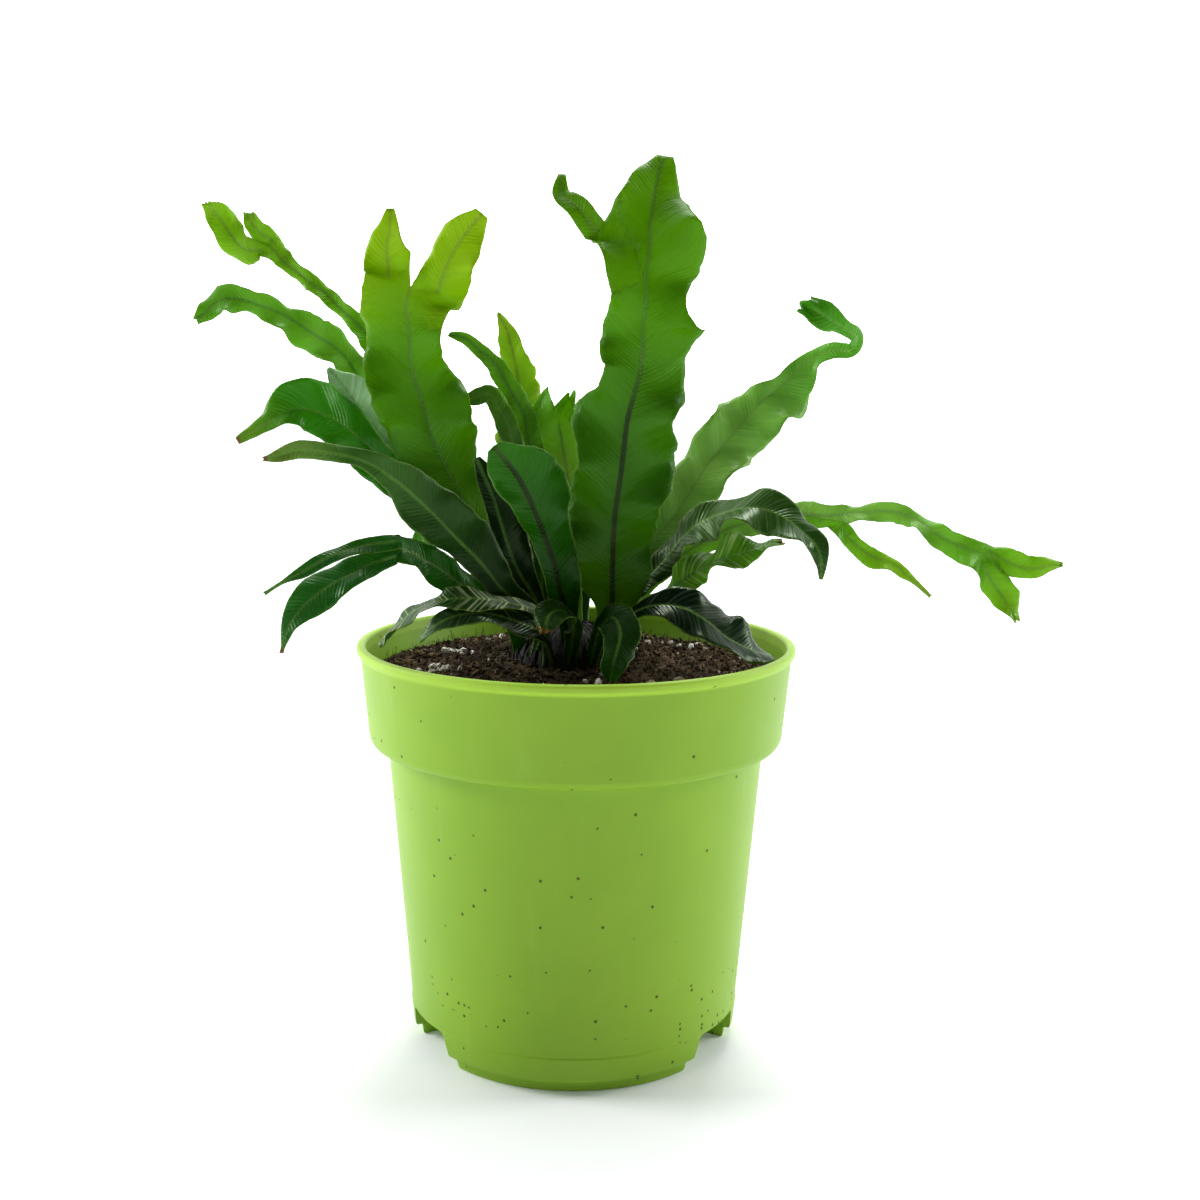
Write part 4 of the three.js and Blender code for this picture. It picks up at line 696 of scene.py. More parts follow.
# %% Looks
# tones are pairs of a share of the way from foot to tip and the colour there. dark_rib is how far up
# the midrib is black, and dry the length of the brown tip, both in millimetres. teeth is the number
# of lobes at a crested tip. cream, ridges, nicks and the shine strength are strengths; the shine
# strength lowers the roughness and also sets pale sheen streaks, which are painted highlights.
PLAIN = {"dark_rib": 0, "cream": 0.0, "dry": 0, "wet": 0.0, "ridges": 1.0, "teeth": 0, "nicks": 0.04}
LOOKS = {
    "frond_tall": {"tones": "0 1f5404, 0.3 2c6c08, 0.6 407c0c, 0.85 548400, 1 4a7800", "dark_rib": 70},
    "frond_forked": {
        "tones": "0 0a2c04, 0.3 124404, 0.55 245c08, 0.72 4c8808, 0.85 98bc04, 1 b0cc0c",
        "dark_rib": 10,
    },
    "frond_right": {
        "tones": "0 4a9c18, 0.4 a0d460, 0.8 64b02c, 1 4a9c18",
        "wet": 0.3, "teeth": 1.5, "nicks": 0.05,
    },
    "frond_droop_right": {"tones": "0 244c10, 0.6 406820, 1 204c14", "wet": 0.5, "cream": 0.05},
    "frond_far_right": {
        "tones": "0 6ca848, 0.4 9cc868, 0.8 6cb424, 1 b0dc28",
        "wet": 0.4, "teeth": 3, "nicks": 0.1,
    },
    "frond_crumpled": {"tones": "0 2a5c10, 1 4a8a18", "cream": 0.5, "dry": 2, "teeth": 3, "nicks": 0.16},
    "frond_back_crest": {"tones": "0 4a8018, 0.7 a8cc58, 1 4fa01c", "teeth": 4, "nicks": 0.1},
    "frond_back_narrow": {"tones": "0 64a018, 0.6 a0cc30, 1 c0dc30", "teeth": 3, "nicks": 0.14},
    "frond_back_ribbon": {"tones": "0 3a6c10, 1 548c28", "nicks": 0.12, "teeth": 2},
    "frond_small_left": {"tones": "0 2a5c10, 1 609a28", "nicks": 0.1},
    "frond_grey_curl": {
        "tones": "0 0c2c08, 0.4 244818, 0.8 3f7024, 1 7ca03c",
        "dry": 2, "nicks": 0.05, "teeth": 3,
    },
    "frond_front": {"tones": "0 0c3404, 0.4 185804, 1 2c7804", "dark_rib": 60},
    "frond_dark": {"tones": "0 041804, 1 082c04"},
    "frond_left": {"tones": "0 184a0c, 0.5 246810, 0.85 3a9010, 1 7aa828", "wet": 0.3, "dry": 2},
    # Painted reflection: the pale whitish tones of frond_gloss stand for the bright sky mirrored in its
    # glossy blade.
    "frond_gloss": {"tones": "0 4a9434, 0.5 a8dc98, 1 a8dc98", "wet": 1.2},
    "frond_ribbon_high": {
        "tones": "0 2a5c10, 0.6 4f9024, 1 98c820",
        "wet": 0.3, "teeth": 4, "nicks": 0.12,
    },
    "frond_ribbon_low": {"tones": "0 2f6418, 0.6 68a038, 1 58a024", "teeth": 4, "wet": 0.2, "nicks": 0.1},
    "frond_droop_left": {
        "tones": "0 103810, 0.5 1c5418, 1 2f6c2c",
        "wet": 0.4, "dry": 2.5, "nicks": 0.05, "teeth": 3,
    },
    "frond_striped": {"tones": "0 103408, 1 2c6014", "cream": 0.65, "nicks": 0.06},
    "frond_low_left": {"tones": "0 082404, 1 2c5820", "cream": 0.1},
    "frond_front_curl": {"tones": "0 0c2c06, 1 3f6820", "dry": 2, "nicks": 0.1, "teeth": 2},
    "frond_front_droop": {"tones": "0 082404, 1 285814", "teeth": 3, "nicks": 0.12},
    "frond_low_right": {"tones": "0 061c06, 1 0a300c", "wet": 0.5},
    "frond_rear": {"tones": "0 184a0c, 0.5 2f7414, 1 5aa014", "dark_rib": 30},
    "frond_rear_left": {"tones": "0 103c08, 0.5 2a6410, 1 4a8c18", "dark_rib": 20},
    "frond_rear_low": {"tones": "0 061c04, 1 245418", "wet": 0.3},
    "frond_rear_right": {"tones": "0 103c08, 0.5 2f6c10, 1 4a8c18", "dark_rib": 20},
}
print("looks:", len(LOOKS))

# %% Paint a frond's points
DARK_RIB_FADE = 25
CREAM_START, CREAM_FADE = 8, 10


def paint(mesh, look):
    """Writes the frond's colours and marks to its points, and its shine strength, which also sets painted
    sheen streaks.
    """
    count = len(mesh.vertices)
    along = np.zeros(count)
    mesh.attributes["along"].data.foreach_get("value", along)
    share = along / along.max()
    tones = [tone.split() for tone in look["tones"].split(", ")]
    stops = [float(stop) for stop, _ in tones]
    linear = np.array([rgb(color)[:3] for _, color in tones])
    tint = np.ones((count, 4))
    for channel in range(3):
        tint[:, channel] = np.interp(share, stops, linear[:, channel])
    mesh.attributes.new("tint", "FLOAT_COLOR", "POINT").data.foreach_set("color", tint.ravel())
    dark, dry, none = look["dark_rib"], look["dry"], 0 * along
    write_values(
        mesh,
        dark_rib=np.clip(1 - (along - dark) / DARK_RIB_FADE, 0, 1) if dark else none,
        cream=look["cream"] * np.clip((along - CREAM_START) / CREAM_FADE, 0, 1),
        dry=np.clip(1 - (along.max() - along) / dry, 0, 1) if dry else none,
        wet=none + look["wet"],
    )


# %% [markdown]
# ## The leaf material
# A fern's blade has a waxy skin over green tissue. Side veins run from the midrib to the margin at
# a slant, a millimetre or so apart, and break the shine into streaks. Light shines through a thin
# blade, so part of the shader is translucent. The underside is paler and duller. A photograph of a
# leaf would give all this at once, but would carry its light and shade with it.

# %% Leaf material
VEIN_SPACING = 1.15


def leaf_material(name, roughness, through, glow):
    """A waxy skin over a translucent blade. through is the share of light that passes the blade."""
    r = Recipe(name)
    rib, along, edge = r.attribute("rib"), r.attribute("along"), r.attribute("edge")
    place = r.place()
    drift = r.noise(place, 60.0, 2.0)
    vein = (along - rib * VEIN_SLANT) / VEIN_SPACING + drift * 2.4
    lines = vein.wave() * r.noise(place, 90.0, 1.0).above(0.35, 0.65)
    streaks = r.noise(r.vector(vein * 0.9, rib * 0.05, 0.0), 1.0, 3.0)
    folds = r.noise(r.vector(vein * 0.09, rib * 0.03, 0.0), 1.0, 2.0)
    blotches = r.noise(place, 38.0, 4.0, 0.55)
    wet = r.attribute("wet")
    tint = r.attribute("tint", "Color")
    under = r.attribute("under")
    pale = r.mix(0.4, tint, rgb("7fa068"))
    color = r.mix(under * 0.6, tint, pale)
    # Painted shade: the colour darkens towards each frond's foot, deep in the nest, where shade falls.
    nest_shade = 0.25 + 0.75 * along.above(0.0, 85.0)
    # The fold pattern, which also raises the bump, lightens the colour on its rises: painted light. The
    # blotches and streaks vary the tone at random.
    color = r.shade(color, nest_shade * (0.3 + blotches * 0.42 + streaks * 0.34 + folds * 0.24))
    cream = (streaks + blotches * 0.2).above(0.6, 0.72) * r.attribute("cream")
    color = r.mix(cream, color, rgb("c3cf96"))
    # Painted highlight: pale sheen streaks along the veins, strongest on the shiniest fronds.
    color = r.mix(streaks.above(0.48, 0.7) * wet.above(0.35, 1.2) * 0.6, color, rgb("cfe6c8"))
    dark_rib = r.attribute("dark_rib")
    rib_color = r.mix(dark_rib, rgb("5f8a34"), rgb("120d06"))
    on_rib = (rib / (0.5 + dark_rib * 0.28)).above(1.3, 0.6)
    color = r.mix(on_rib * (0.4 + dark_rib * 0.5), color, rib_color)
    # Painted highlight: a thin pale line along each margin, where the edge of the blade catches the
    # light.
    margin = edge.above(0.4, 0.1)
    color = r.mix(margin * 0.3, color, rgb("86a83c"))
    specks = r.noise(place, 240.0, 3.0)
    dry = (r.attribute("dry") * 1.3 + specks * 0.9).above(1.0, 1.35)
    color = r.mix(dry, color, rgb("6a4a22"))
    gloss = roughness - wet * 0.16 + streaks * 0.1 + blotches * 0.1 + under * 0.1
    relief = r.bump(lines * 0.5 + streaks * 2.2 + folds * 16.0, 0.0001, 0.7)
    shine = {"Specular_IOR_Level": 0.3, "Specular_Tint": rgb("c8f0b0")}
    skin = r.finish(Base_Color=color, Roughness=gloss, Normal=relief, **shine)
    inner = r.node("ShaderNodeBsdfTranslucent", {}, {"Color": rgb(glow), "Normal": relief})
    share = through * (1 - dry) * (1 - on_rib * 0.7) * (1 - dark_rib * 0.4)
    return r.done(r.node("ShaderNodeMixShader", {}, {0: share, 1: skin, 2: inner}))


leaf_materials = {
    "leaf_bright": leaf_material("leaf_bright", 0.3, 0.42, "a0d000"),
    "leaf_mid": leaf_material("leaf_mid", 0.26, 0.3, "70b400"),
    "leaf_deep": leaf_material("leaf_deep", 0.22, 0.14, "3f8000"),
    "leaf_grey": leaf_material("leaf_grey", 0.32, 0.18, "5f9420"),
}
slot_of = {entry["node"]: entry["material_slot"] for entry in frame["record"]["subparts"]}


def place_piece(mesh, node=None, materials=()):
    """A new object on the part's one body, standing for a CAD node where one is named."""
    piece = put(mesh.name, mesh)
    for material in materials:
        mesh.materials.append(material)
    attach(piece, "root")
    if node:
        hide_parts(node)
    return piece


# %% Grow every frond
def rooted(frond):
    radius, turn = frond["foot"]
    x = CROWN_CENTRE[0] + radius * math.cos(math.radians(turn))
    y = CROWN_CENTRE[1] + radius * math.sin(math.radians(turn))
    foot = station(x, y, FOOT_HEIGHT, STALK_HALF_WIDTH)
    return {**frond, "stations": [foot, *frond["stations"]]}


for number, (name, frond) in enumerate(FRONDS.items()):
    look = {**PLAIN, **LOOKS[name]}
    sheet = Sheet(number + 1)
    grow(sheet, rooted({**frond, "teeth": look["teeth"], "nicks": look["nicks"]}))
    mesh = leaf_mesh(name + "_blade", sheet, look["ridges"])
    paint(mesh, look)
    place_piece(mesh, name, [leaf_materials[slot_of[name]]])
    print(name, len(mesh.vertices), "points")

# %% [markdown]
# ## The pot
# A nursery pot is moulded from thin green plastic. Its outline is turned, so its mesh is a profile
# carried round the axis, as in the CAD source, but in finer steps and with round edges. The three
# recesses in the foot are walled and cut by Boolean modifiers, which are then applied.

# %% Pot shape
WALL = 1.4
FLOOR = 1.8
FOOT_RADIUS = 43.1
LIP_RADIUS, LIP_HEIGHT = 45.4, 3.6
MOULD_LINE_HEIGHT = 10.2
BODY_TOP_RADIUS = 51.9
BAND_FOOT_HEIGHT, BAND_FOOT_RADIUS = 84.3, 56.9
BAND_TOP_RADIUS = 59.0
BEAD_RADIUS, BEAD_DEPTH = 60.0, 2.6
RIM_HEIGHT = 111.0
POT_SIDES = 192
RECESS_TURNS = (-30, 90, 210)
RECESS_HALF_WIDTH, RECESS_TOP_HALF_WIDTH, RECESS_HEIGHT = 12.0, 9.4, 10.2
RECESS_INNER_RADIUS, RECESS_CORNER = 34.0, 1.6
DRAIN_SLOT_DEPTH, DRAIN_SLOT_LENGTH = 4.5, 11.0
DRAIN_SLOT_LOW, DRAIN_SLOT_HIGH = 5, 16
HOUSING_TOP = 24
EDGE_ROUND = 0.9


def body_radius(z):
    share = (z - LIP_HEIGHT) / (BAND_FOOT_HEIGHT - LIP_HEIGHT)
    return LIP_RADIUS + (BODY_TOP_RADIUS - LIP_RADIUS) * share


def rounded(points, radius, steps=4):
    """A profile with each of its inner corners turned into a small arc of up to that radius."""
    result = [points[0]]
    for before, corner, after in zip(points, points[1:], points[2:]):
        p, c, q = Vector(before), Vector(corner), Vector(after)
        cut = min(radius, 0.45 * (p - c).length, 0.45 * (q - c).length)
        a, b = c + (p - c).normalized() * cut, c + (q - c).normalized() * cut
        for n in range(steps + 1):
            t = n / steps
            result.append(tuple(a * (1 - t) ** 2 + c * 2 * t * (1 - t) + b * t ** 2))
    return [*result, points[-1]]


def finished(work, name):
    """A mesh of this name from a work mesh, its faces all turned outward."""
    bmesh.ops.recalc_face_normals(work, faces=work.faces)
    mesh = bpy.data.meshes.new(name)
    work.to_mesh(mesh)
    work.free()
    return mesh


def turned(name, profile, sides):
    """A mesh from (radius, height) pairs that start and end on the axis. A height may be a function."""
    work = bmesh.new()
    rings = []
    for radius, height in profile:
        angles = [math.tau * i / sides for i in range(sides if radius else 1)]
        places = [(radius * math.cos(a), radius * math.sin(a)) for a in angles]
        heights = [height(x, y) if callable(height) else height for x, y in places]
        rings.append([work.verts.new((x * MM, y * MM, z * MM)) for (x, y), z in zip(places, heights)])
    for low, high in zip(rings, rings[1:]):
        for i in range(sides):
            k = (i + 1) % sides
            corners = [low[i % len(low)], low[k % len(low)], high[k % len(high)], high[i % len(high)]]
            work.faces.new(list(dict.fromkeys(corners)))
    return finished(work, name)


bead_foot = RIM_HEIGHT - BEAD_DEPTH
outside = [
    (0, 0), (FOOT_RADIUS, 0), (FOOT_RADIUS + 0.4, LIP_HEIGHT), (LIP_RADIUS, LIP_HEIGHT),
    (body_radius(MOULD_LINE_HEIGHT) + 0.2, MOULD_LINE_HEIGHT),
    (body_radius(MOULD_LINE_HEIGHT), MOULD_LINE_HEIGHT + 0.4),
    (BODY_TOP_RADIUS, BAND_FOOT_HEIGHT), (BAND_FOOT_RADIUS - 0.9, BAND_FOOT_HEIGHT),
    (BAND_FOOT_RADIUS, BAND_FOOT_HEIGHT + 1.6), (BAND_TOP_RADIUS, bead_foot),
    (BEAD_RADIUS, bead_foot + 0.5), (BEAD_RADIUS, RIM_HEIGHT),
]
inside = [
    (BAND_TOP_RADIUS - WALL, RIM_HEIGHT), (BAND_FOOT_RADIUS - WALL - 0.6, BAND_FOOT_HEIGHT + WALL),
    (BODY_TOP_RADIUS - WALL, BAND_FOOT_HEIGHT - 0.4), (body_radius(LIP_HEIGHT) - WALL, LIP_HEIGHT + WALL),
    (FOOT_RADIUS - WALL, FLOOR), (0, FLOOR),
]
pot_mesh = turned("pot_shell", rounded([*outside, *inside], EDGE_ROUND), POT_SIDES)
print("pot:", len(pot_mesh.polygons), "faces")

# %% Recesses in the foot
def notch(margin, below=-8.0):
    """The outline of a recess grown by a margin, as (y, z) pairs. Its ends lean, its top is rounded."""
    lean = (RECESS_HALF_WIDTH - RECESS_TOP_HALF_WIDTH) / RECESS_HEIGHT
    top = RECESS_HEIGHT + margin
    wide, narrow = [RECESS_HALF_WIDTH + margin - lean * z for z in (below, top)]
    return rounded([(wide, below), (narrow, top), (-narrow, top), (-wide, below)], RECESS_CORNER)


def extruded(name, outline, low_x, high_x):
    work = bmesh.new()
    ends = [[work.verts.new((x * MM, y * MM, z * MM)) for y, z in outline] for x in (low_x, high_x)]
    work.faces.new(ends[0])
    work.faces.new(ends[1])
    for i in range(len(outline)):
        k = (i + 1) % len(outline)
        work.faces.new([ends[0][i], ends[0][k], ends[1][k], ends[1][i]])
    return finished(work, name)


def boolean(piece, mesh, operation):
    """Joins a mesh to a piece or cuts it away, and applies the result."""
    tool = put("tool", mesh)
    modifier = piece.modifiers.new("cut", "BOOLEAN")
    modifier.operation, modifier.object, modifier.solver = operation, tool, "MANIFOLD"
    evaluated = piece.evaluated_get(bpy.context.evaluated_depsgraph_get())
    result = bpy.data.meshes.new_from_object(evaluated)
    piece.modifiers.clear()
    piece.data = result
    bpy.data.objects.remove(tool)


pot = put("pot_shell", pot_mesh)
keep = [
    (0, 0.2), (FOOT_RADIUS - 0.3, 0.2), (FOOT_RADIUS - 0.3, LIP_HEIGHT + 0.3),
    (LIP_RADIUS - 0.3, LIP_HEIGHT + 0.3), (body_radius(HOUSING_TOP) - 0.5, HOUSING_TOP), (0, HOUSING_TOP),
]
slot_centre = RECESS_INNER_RADIUS + DRAIN_SLOT_DEPTH
slot_span = (slot_centre - DRAIN_SLOT_DEPTH / 2, slot_centre + DRAIN_SLOT_DEPTH / 2)
half, low, high = DRAIN_SLOT_LENGTH / 2, DRAIN_SLOT_LOW, DRAIN_SLOT_HIGH
square = [(-half, low), (half, low), (half, high), (-half, high)]
for turn in RECESS_TURNS:
    facing = Matrix.Rotation(math.radians(turn), 4, "Z")
    housing = extruded("recess_wall", notch(WALL, 0.2), RECESS_INNER_RADIUS - WALL, BEAD_RADIUS)
    recess = extruded("recess", notch(0), RECESS_INNER_RADIUS, BEAD_RADIUS + 5)
    slot_hole = extruded("drain_slot", square, *slot_span)
    for mesh in (housing, recess, slot_hole):
        mesh.transform(facing)
    inner = put("inner", housing)
    boolean(inner, turned("keep", keep, POT_SIDES), "INTERSECT")
    boolean(pot, inner.data, "UNION")
    bpy.data.objects.remove(inner)
    boolean(pot, recess, "DIFFERENCE")
    boolean(pot, slot_hole, "DIFFERENCE")
pot.name = pot.data.name = "pot_shell"
print("pot with recesses:", len(pot.data.polygons), "faces")

# %% [markdown]
# ## Pot plastic
# The pot is satin polypropylene. Its colour is even, so what makes it look real is what handling
# and watering leave: faint smudges and run marks, fine scratches, and specks of peat stuck to the
# outside, more of them low on the left where soil splashed. The specks are thresholded cells.

# %% Pot material
SPECK_CELLS = 640.0
BEAD_HIGHLIGHT_FADE = (3.4, 2.6)


def pot_material():
    r = Recipe("pot_plastic")
    place = r.place()
    height = r.axis(place, "Z")
    across = r.axis(place, "X")
    clouds = r.noise(place, 16.0, 4.0, 0.6)
    stretched = r.node("ShaderNodeMapping", {}, {"Vector": place, "Scale": (1.0, 1.0, 0.16)})
    runs = r.noise(stretched, 90.0, 3.0, 0.6)
    fine = r.noise(place, 700.0, 2.0)
    color = r.mix(clouds.above(0.3, 0.75), rgb("7ba616"), rgb("88b020"))
    color = r.mix(runs.above(0.58, 0.8) * 0.16, color, rgb("a8d058"))
    # Painted light: the inner wall is painted a slightly lighter, more saturated green than the outside,
    # though it is the same plastic.
    inner = r.attribute("inside")
    color = r.mix(inner, color, rgb("86b41c"))
    cells, lot = [
        r.node("ShaderNodeTexVoronoi", {}, {"Vector": place, "Scale": SPECK_CELLS}, output=name)
        for name in ("Distance", "Color")
    ]
    chance = r.node("ShaderNodeSeparateColor", {}, {0: lot}, output=0)
    low_left = height.above(0.075, 0.005) * across.above(0.0, -0.045)
    low_right = height.above(0.04, 0.005) * across.above(0.005, 0.035)
    dense = r.noise(place, 30.0, 2.0).above(0.42, 0.62)
    few = 0.012 + (low_left * 0.26 + low_right * 0.2 + 0.03) * dense
    speck = cells.above(0.34, 0.2) * (few - chance).above(0.0, 0.002)
    # Painted highlight: the bead at the rim is painted lighter, for the light along its top.
    top = height.above(*[(RIM_HEIGHT - below) * MM for below in BEAD_HIGHLIGHT_FADE])
    color = r.mix(top * 0.6, color, rgb("a8d03c"))
    smudge = r.noise(place, 120.0, 5.0, 0.7).above(0.66, 0.8) * dense
    color = r.mix(smudge * 0.3, color, rgb("5c6a14"))
    color = r.mix(speck * 0.85, color, rgb("3a2a12"))
    rough = 0.42 + clouds * 0.12 - runs.above(0.55, 0.8) * 0.08 + speck * 0.4
    relief = r.bump(fine * 0.25 + clouds * 2.0 + speck * 2.0, 0.00012, 0.5)
    return r.done(r.finish(Base_Color=color, Roughness=rough, Specular_IOR_Level=0.34, Normal=relief))


def mark_inside(piece):
    """Marks the points of the pot's inner wall, which the material paints a lighter, more saturated green
    as painted light.
    """
    mesh = piece.data
    places = np.zeros(len(mesh.vertices) * 3)
    mesh.vertices.foreach_get("co", places)
    places = places.reshape(-1, 3) / MM
    radius = np.hypot(places[:, 0], places[:, 1])
    z = places[:, 2]
    heights = [LIP_HEIGHT, BAND_FOOT_HEIGHT, bead_foot, RIM_HEIGHT]
    wall = np.interp(z, heights, [LIP_RADIUS, BODY_TOP_RADIUS, BAND_TOP_RADIUS, BAND_TOP_RADIUS])
    inside_now = (radius < wall - EDGE_ROUND) & (z > 2) & (z < RIM_HEIGHT - 0.4)
    write_values(mesh, inside=inside_now.astype(float))


mark_inside(pot)
pot.data.materials.clear()
pot.data.materials.append(pot_material())
pot.data.shade_smooth()
pot.data.set_sharp_from_angle(angle=math.radians(35))
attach(pot, "root")
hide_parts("pot")

# %% [markdown]
# ## Peat
# The potting mix is dark fibrous peat with bits of bark, white perlite and a few tan pebbles. Its
# top could be one bumpy sheet, but from close by the crumbs have to overlap and cast shadows. So a
# lumpy solid carries a few thousand small loose bits, each scattered by a seeded draw and sunk a
# little into the surface.

# %% Peat surface
SOIL_EDGE_HEIGHT, SOIL_CENTRE_HEIGHT = 102.5, 107.0
SOIL_BOTTOM = 14.0
SOIL_GAP = 0.4
LUMP_HEIGHT, CLOD_HEIGHT = 1.2, 0.9
SOIL_RINGS, SOIL_SIDES = 46, 150
draw = np.random.default_rng(12)


def soil_edge():
    slope = (BAND_TOP_RADIUS - BAND_FOOT_RADIUS) / (bead_foot - BAND_FOOT_HEIGHT)
    return BAND_FOOT_RADIUS + slope * (SOIL_EDGE_HEIGHT - BAND_FOOT_HEIGHT) - WALL - 2 * SOIL_GAP


def soil_height(x, y):
    share = min(1.0, math.hypot(x, y) / soil_edge())
    mound = SOIL_EDGE_HEIGHT + (SOIL_CENTRE_HEIGHT - SOIL_EDGE_HEIGHT) * (1 - share * share)
    lumps = LUMP_HEIGHT * noise.noise(Vector((x * 0.11, y * 0.11, 2)))
    clods = CLOD_HEIGHT * noise.fractal(Vector((x * 0.5, y * 0.5, 7)), 0.9, 2.2, 3)
    return mound + (lumps + clods) * min(1.0, 6 * (1 - share) + 0.25)


def soil_mesh():
    top = [(soil_edge() * k / SOIL_RINGS, soil_height) for k in range(SOIL_RINGS + 1)]
    lower = [
        (BAND_FOOT_RADIUS - WALL - 1.0, BAND_FOOT_HEIGHT + WALL),
        (BODY_TOP_RADIUS - WALL - 0.4, BAND_FOOT_HEIGHT),
        (RECESS_INNER_RADIUS - WALL - 0.6, SOIL_BOTTOM),
        (0, SOIL_BOTTOM),
    ]
    mesh = turned("peat_bed", top + lower, SOIL_SIDES)
    mesh.shade_smooth()
    return mesh


bed = soil_mesh()
print("peat bed:", len(bed.polygons), "faces")

# %% Peat material
def peat_material(name, dark, light, scale):
    r = Recipe(name)
    place = r.place()
    grain = r.noise(place, scale, 6.0, 0.65)
    broad = r.noise(place, scale * 0.12, 3.0)
    color = r.mix((grain * 0.7 + broad * 0.4).above(0.42, 0.72), rgb(dark), rgb(light))
    fleck = r.noise(place, scale * 2.4, 2.0).above(0.66, 0.74)
    color = r.mix(fleck * 0.5, color, rgb("6b5034"))
    relief = r.bump(grain, 0.0005, 0.9)
    dull = {"Roughness": 0.88 + grain * 0.1, "Specular_IOR_Level": 0.14}
    return r.done(r.finish(Base_Color=color, Normal=relief, **dull))


peat = peat_material("peat", "120d08", "62503a", 420.0)
bark = peat_material("peat_bark", "2a1e12", "8c7652", 300.0)


# %% Loose bits
def grain_shape(kind):
    """A small closed shape about the origin, one unit across."""
    work = bmesh.new()
    bmesh.ops.create_icosphere(work, subdivisions=1 if kind != "stone" else 2, radius=0.5)
    for vert in work.verts:
        bumpiness = {"crumb": 0.5, "chip": 0.35, "perlite": 0.3, "stone": 0.16}[kind]
        vert.co *= 1 + bumpiness * noise.noise(vert.co * 3.1 + Vector((5, len(kind), 1)))
    places = [tuple(v.co) for v in work.verts]
    faces = [[v.index for v in f.verts] for f in work.faces]
    work.free()
    return np.array(places), faces


def fibre_shape():
    """A bent three-sided thread, one unit long."""
    places, faces = [], []
    for n in range(5):
        t = n / 4
        for k in range(3):
            angle = math.tau * k / 3
            y = 0.018 * math.cos(angle) + 0.16 * math.sin(2.6 * t)
            z = 0.018 * math.sin(angle) + 0.12 * t * (1 - t)
            places.append((t - 0.5, y, z))
    for n in range(4):
        for k in range(3):
            a, b = 3 * n + k, 3 * n + (k + 1) % 3
            faces.append([a, b, b + 3, a + 3])
    return np.array(places), [[2, 1, 0], *faces, [12, 13, 14]]


class Heap:
    """Many small shapes gathered into one mesh, each with a material number."""

    def __init__(self):
        self.places, self.faces, self.numbers = [], [], []
        self.count = 0

    def drop(self, shape, x, y, size, number, lift=0.0):
        places, faces = shape
        spin = Euler(draw.uniform(0, math.tau, 3)).to_matrix()
        if size[0] > 2 * size[2]:
            lean = draw.normal(0, 0.22), draw.normal(0, 0.22)
            spin = Euler((*lean, draw.uniform(0, math.tau))).to_matrix()
        moved = (places * size) @ np.array(spin).T + (x, y, soil_height(x, y) + lift)
        self.places.append(moved)
        self.faces += [[i + self.count for i in ring] for ring in faces]
        self.numbers += [number] * len(faces)
        self.count += len(places)

    def mesh(self, name):
        mesh = bpy.data.meshes.new(name)
        mesh.from_pydata((np.vstack(self.places) * MM).tolist(), [], self.faces)
        mesh.polygons.foreach_set("material_index", self.numbers)
        return mesh


def spot(limit=1.0):
    radius = soil_edge() * 0.975 * limit * math.sqrt(draw.uniform(0.0, 1.0))
    angle = draw.uniform(0, math.tau)
    return radius * math.cos(angle), radius * math.sin(angle)


CRUMBS, CHIPS, FIBRES, SINGLE_GRAINS = 3600, 520, 1500, 60
heap = Heap()
crumb, chip, stone, white = [grain_shape(kind) for kind in ("crumb", "chip", "stone", "perlite")]
fibre = fibre_shape()
for _ in range(CRUMBS):
    size = draw.uniform(0.5, 1.7)
    heap.drop(crumb, *spot(), (size * 1.3, size, size * 0.75), 0, 0.1)
for _ in range(CHIPS):
    size = draw.uniform(1.2, 3.6)
    heap.drop(chip, *spot(), (size, size * 0.45, size * 0.22), 1, 0.35)
for _ in range(FIBRES):
    place = spot()
    size = (draw.uniform(2.5, 7), 4.0, draw.uniform(2, 6))
    heap.drop(fibre, *place, size, draw.choice([0, 1]), 0.5)
print("loose bits:", heap.count, "points")

# %% [markdown]
# ## Perlite and pebbles
# Perlite is white volcanic glass, puffed like popcorn, in grains of 1 to 3 mm. The photograph shows
# it in small groups near the wall on the left, with single grains elsewhere, and a few tan pebbles
# to the right of the middle. Their places are listed and the rest is drawn.

# %% Perlite and pebbles
# x, y, the number of grains and their spread
PERLITE_GROUPS = [
    (-37, -14, 14, 9), (-35, 6, 10, 6), (-52, -22, 4, 4), (-20, -36, 5, 9), (4, -30, 4, 8),
    (30, 20, 8, 12), (-20, 34, 9, 14),
]
PEBBLES = [(19, -36, 4.6), (27, -28, 3.4), (31, -38, 3.0), (-34, -34, 2.6), (14, -44, 2.4), (36, 24, 3.2)]
for x, y, number, spread in PERLITE_GROUPS:
    for _ in range(number):
        size = draw.uniform(1.0, 2.6)
        px, py = x + draw.normal(0, spread * 0.4), y + draw.normal(0, spread * 0.3)
        if math.hypot(px, py) < soil_edge() - 2:
            heap.drop(white, px, py, (size * 1.2, size, size * 0.85), 2, 0.55)
for _ in range(SINGLE_GRAINS):
    size = draw.uniform(0.4, 1.1)
    heap.drop(white, *spot(), (size, size, size), 2, 0.5)
for x, y, size in PEBBLES:
    heap.drop(stone, x, y, (size, size * 0.8, size * 0.6), 3, 0.5)


def mineral_material(name, light, dark, roughness):
    r = Recipe(name)
    place = r.place()
    pits = r.noise(place, 900.0, 4.0, 0.6)
    color = r.mix(pits.above(0.35, 0.6), rgb(dark), rgb(light))
    relief = r.bump(pits, 0.0003, 0.8)
    return r.done(r.finish(Base_Color=color, Roughness=roughness + pits * 0.1, Normal=relief))


perlite = mineral_material("perlite", "f4f1e8", "b9b1a2", 0.8)
pebble = mineral_material("pebble", "a08a66", "6b5a40", 0.6)
place_piece(bed, "soil", [peat])
place_piece(heap.mesh("peat_bits"), None, [peat, bark, perlite, pebble])

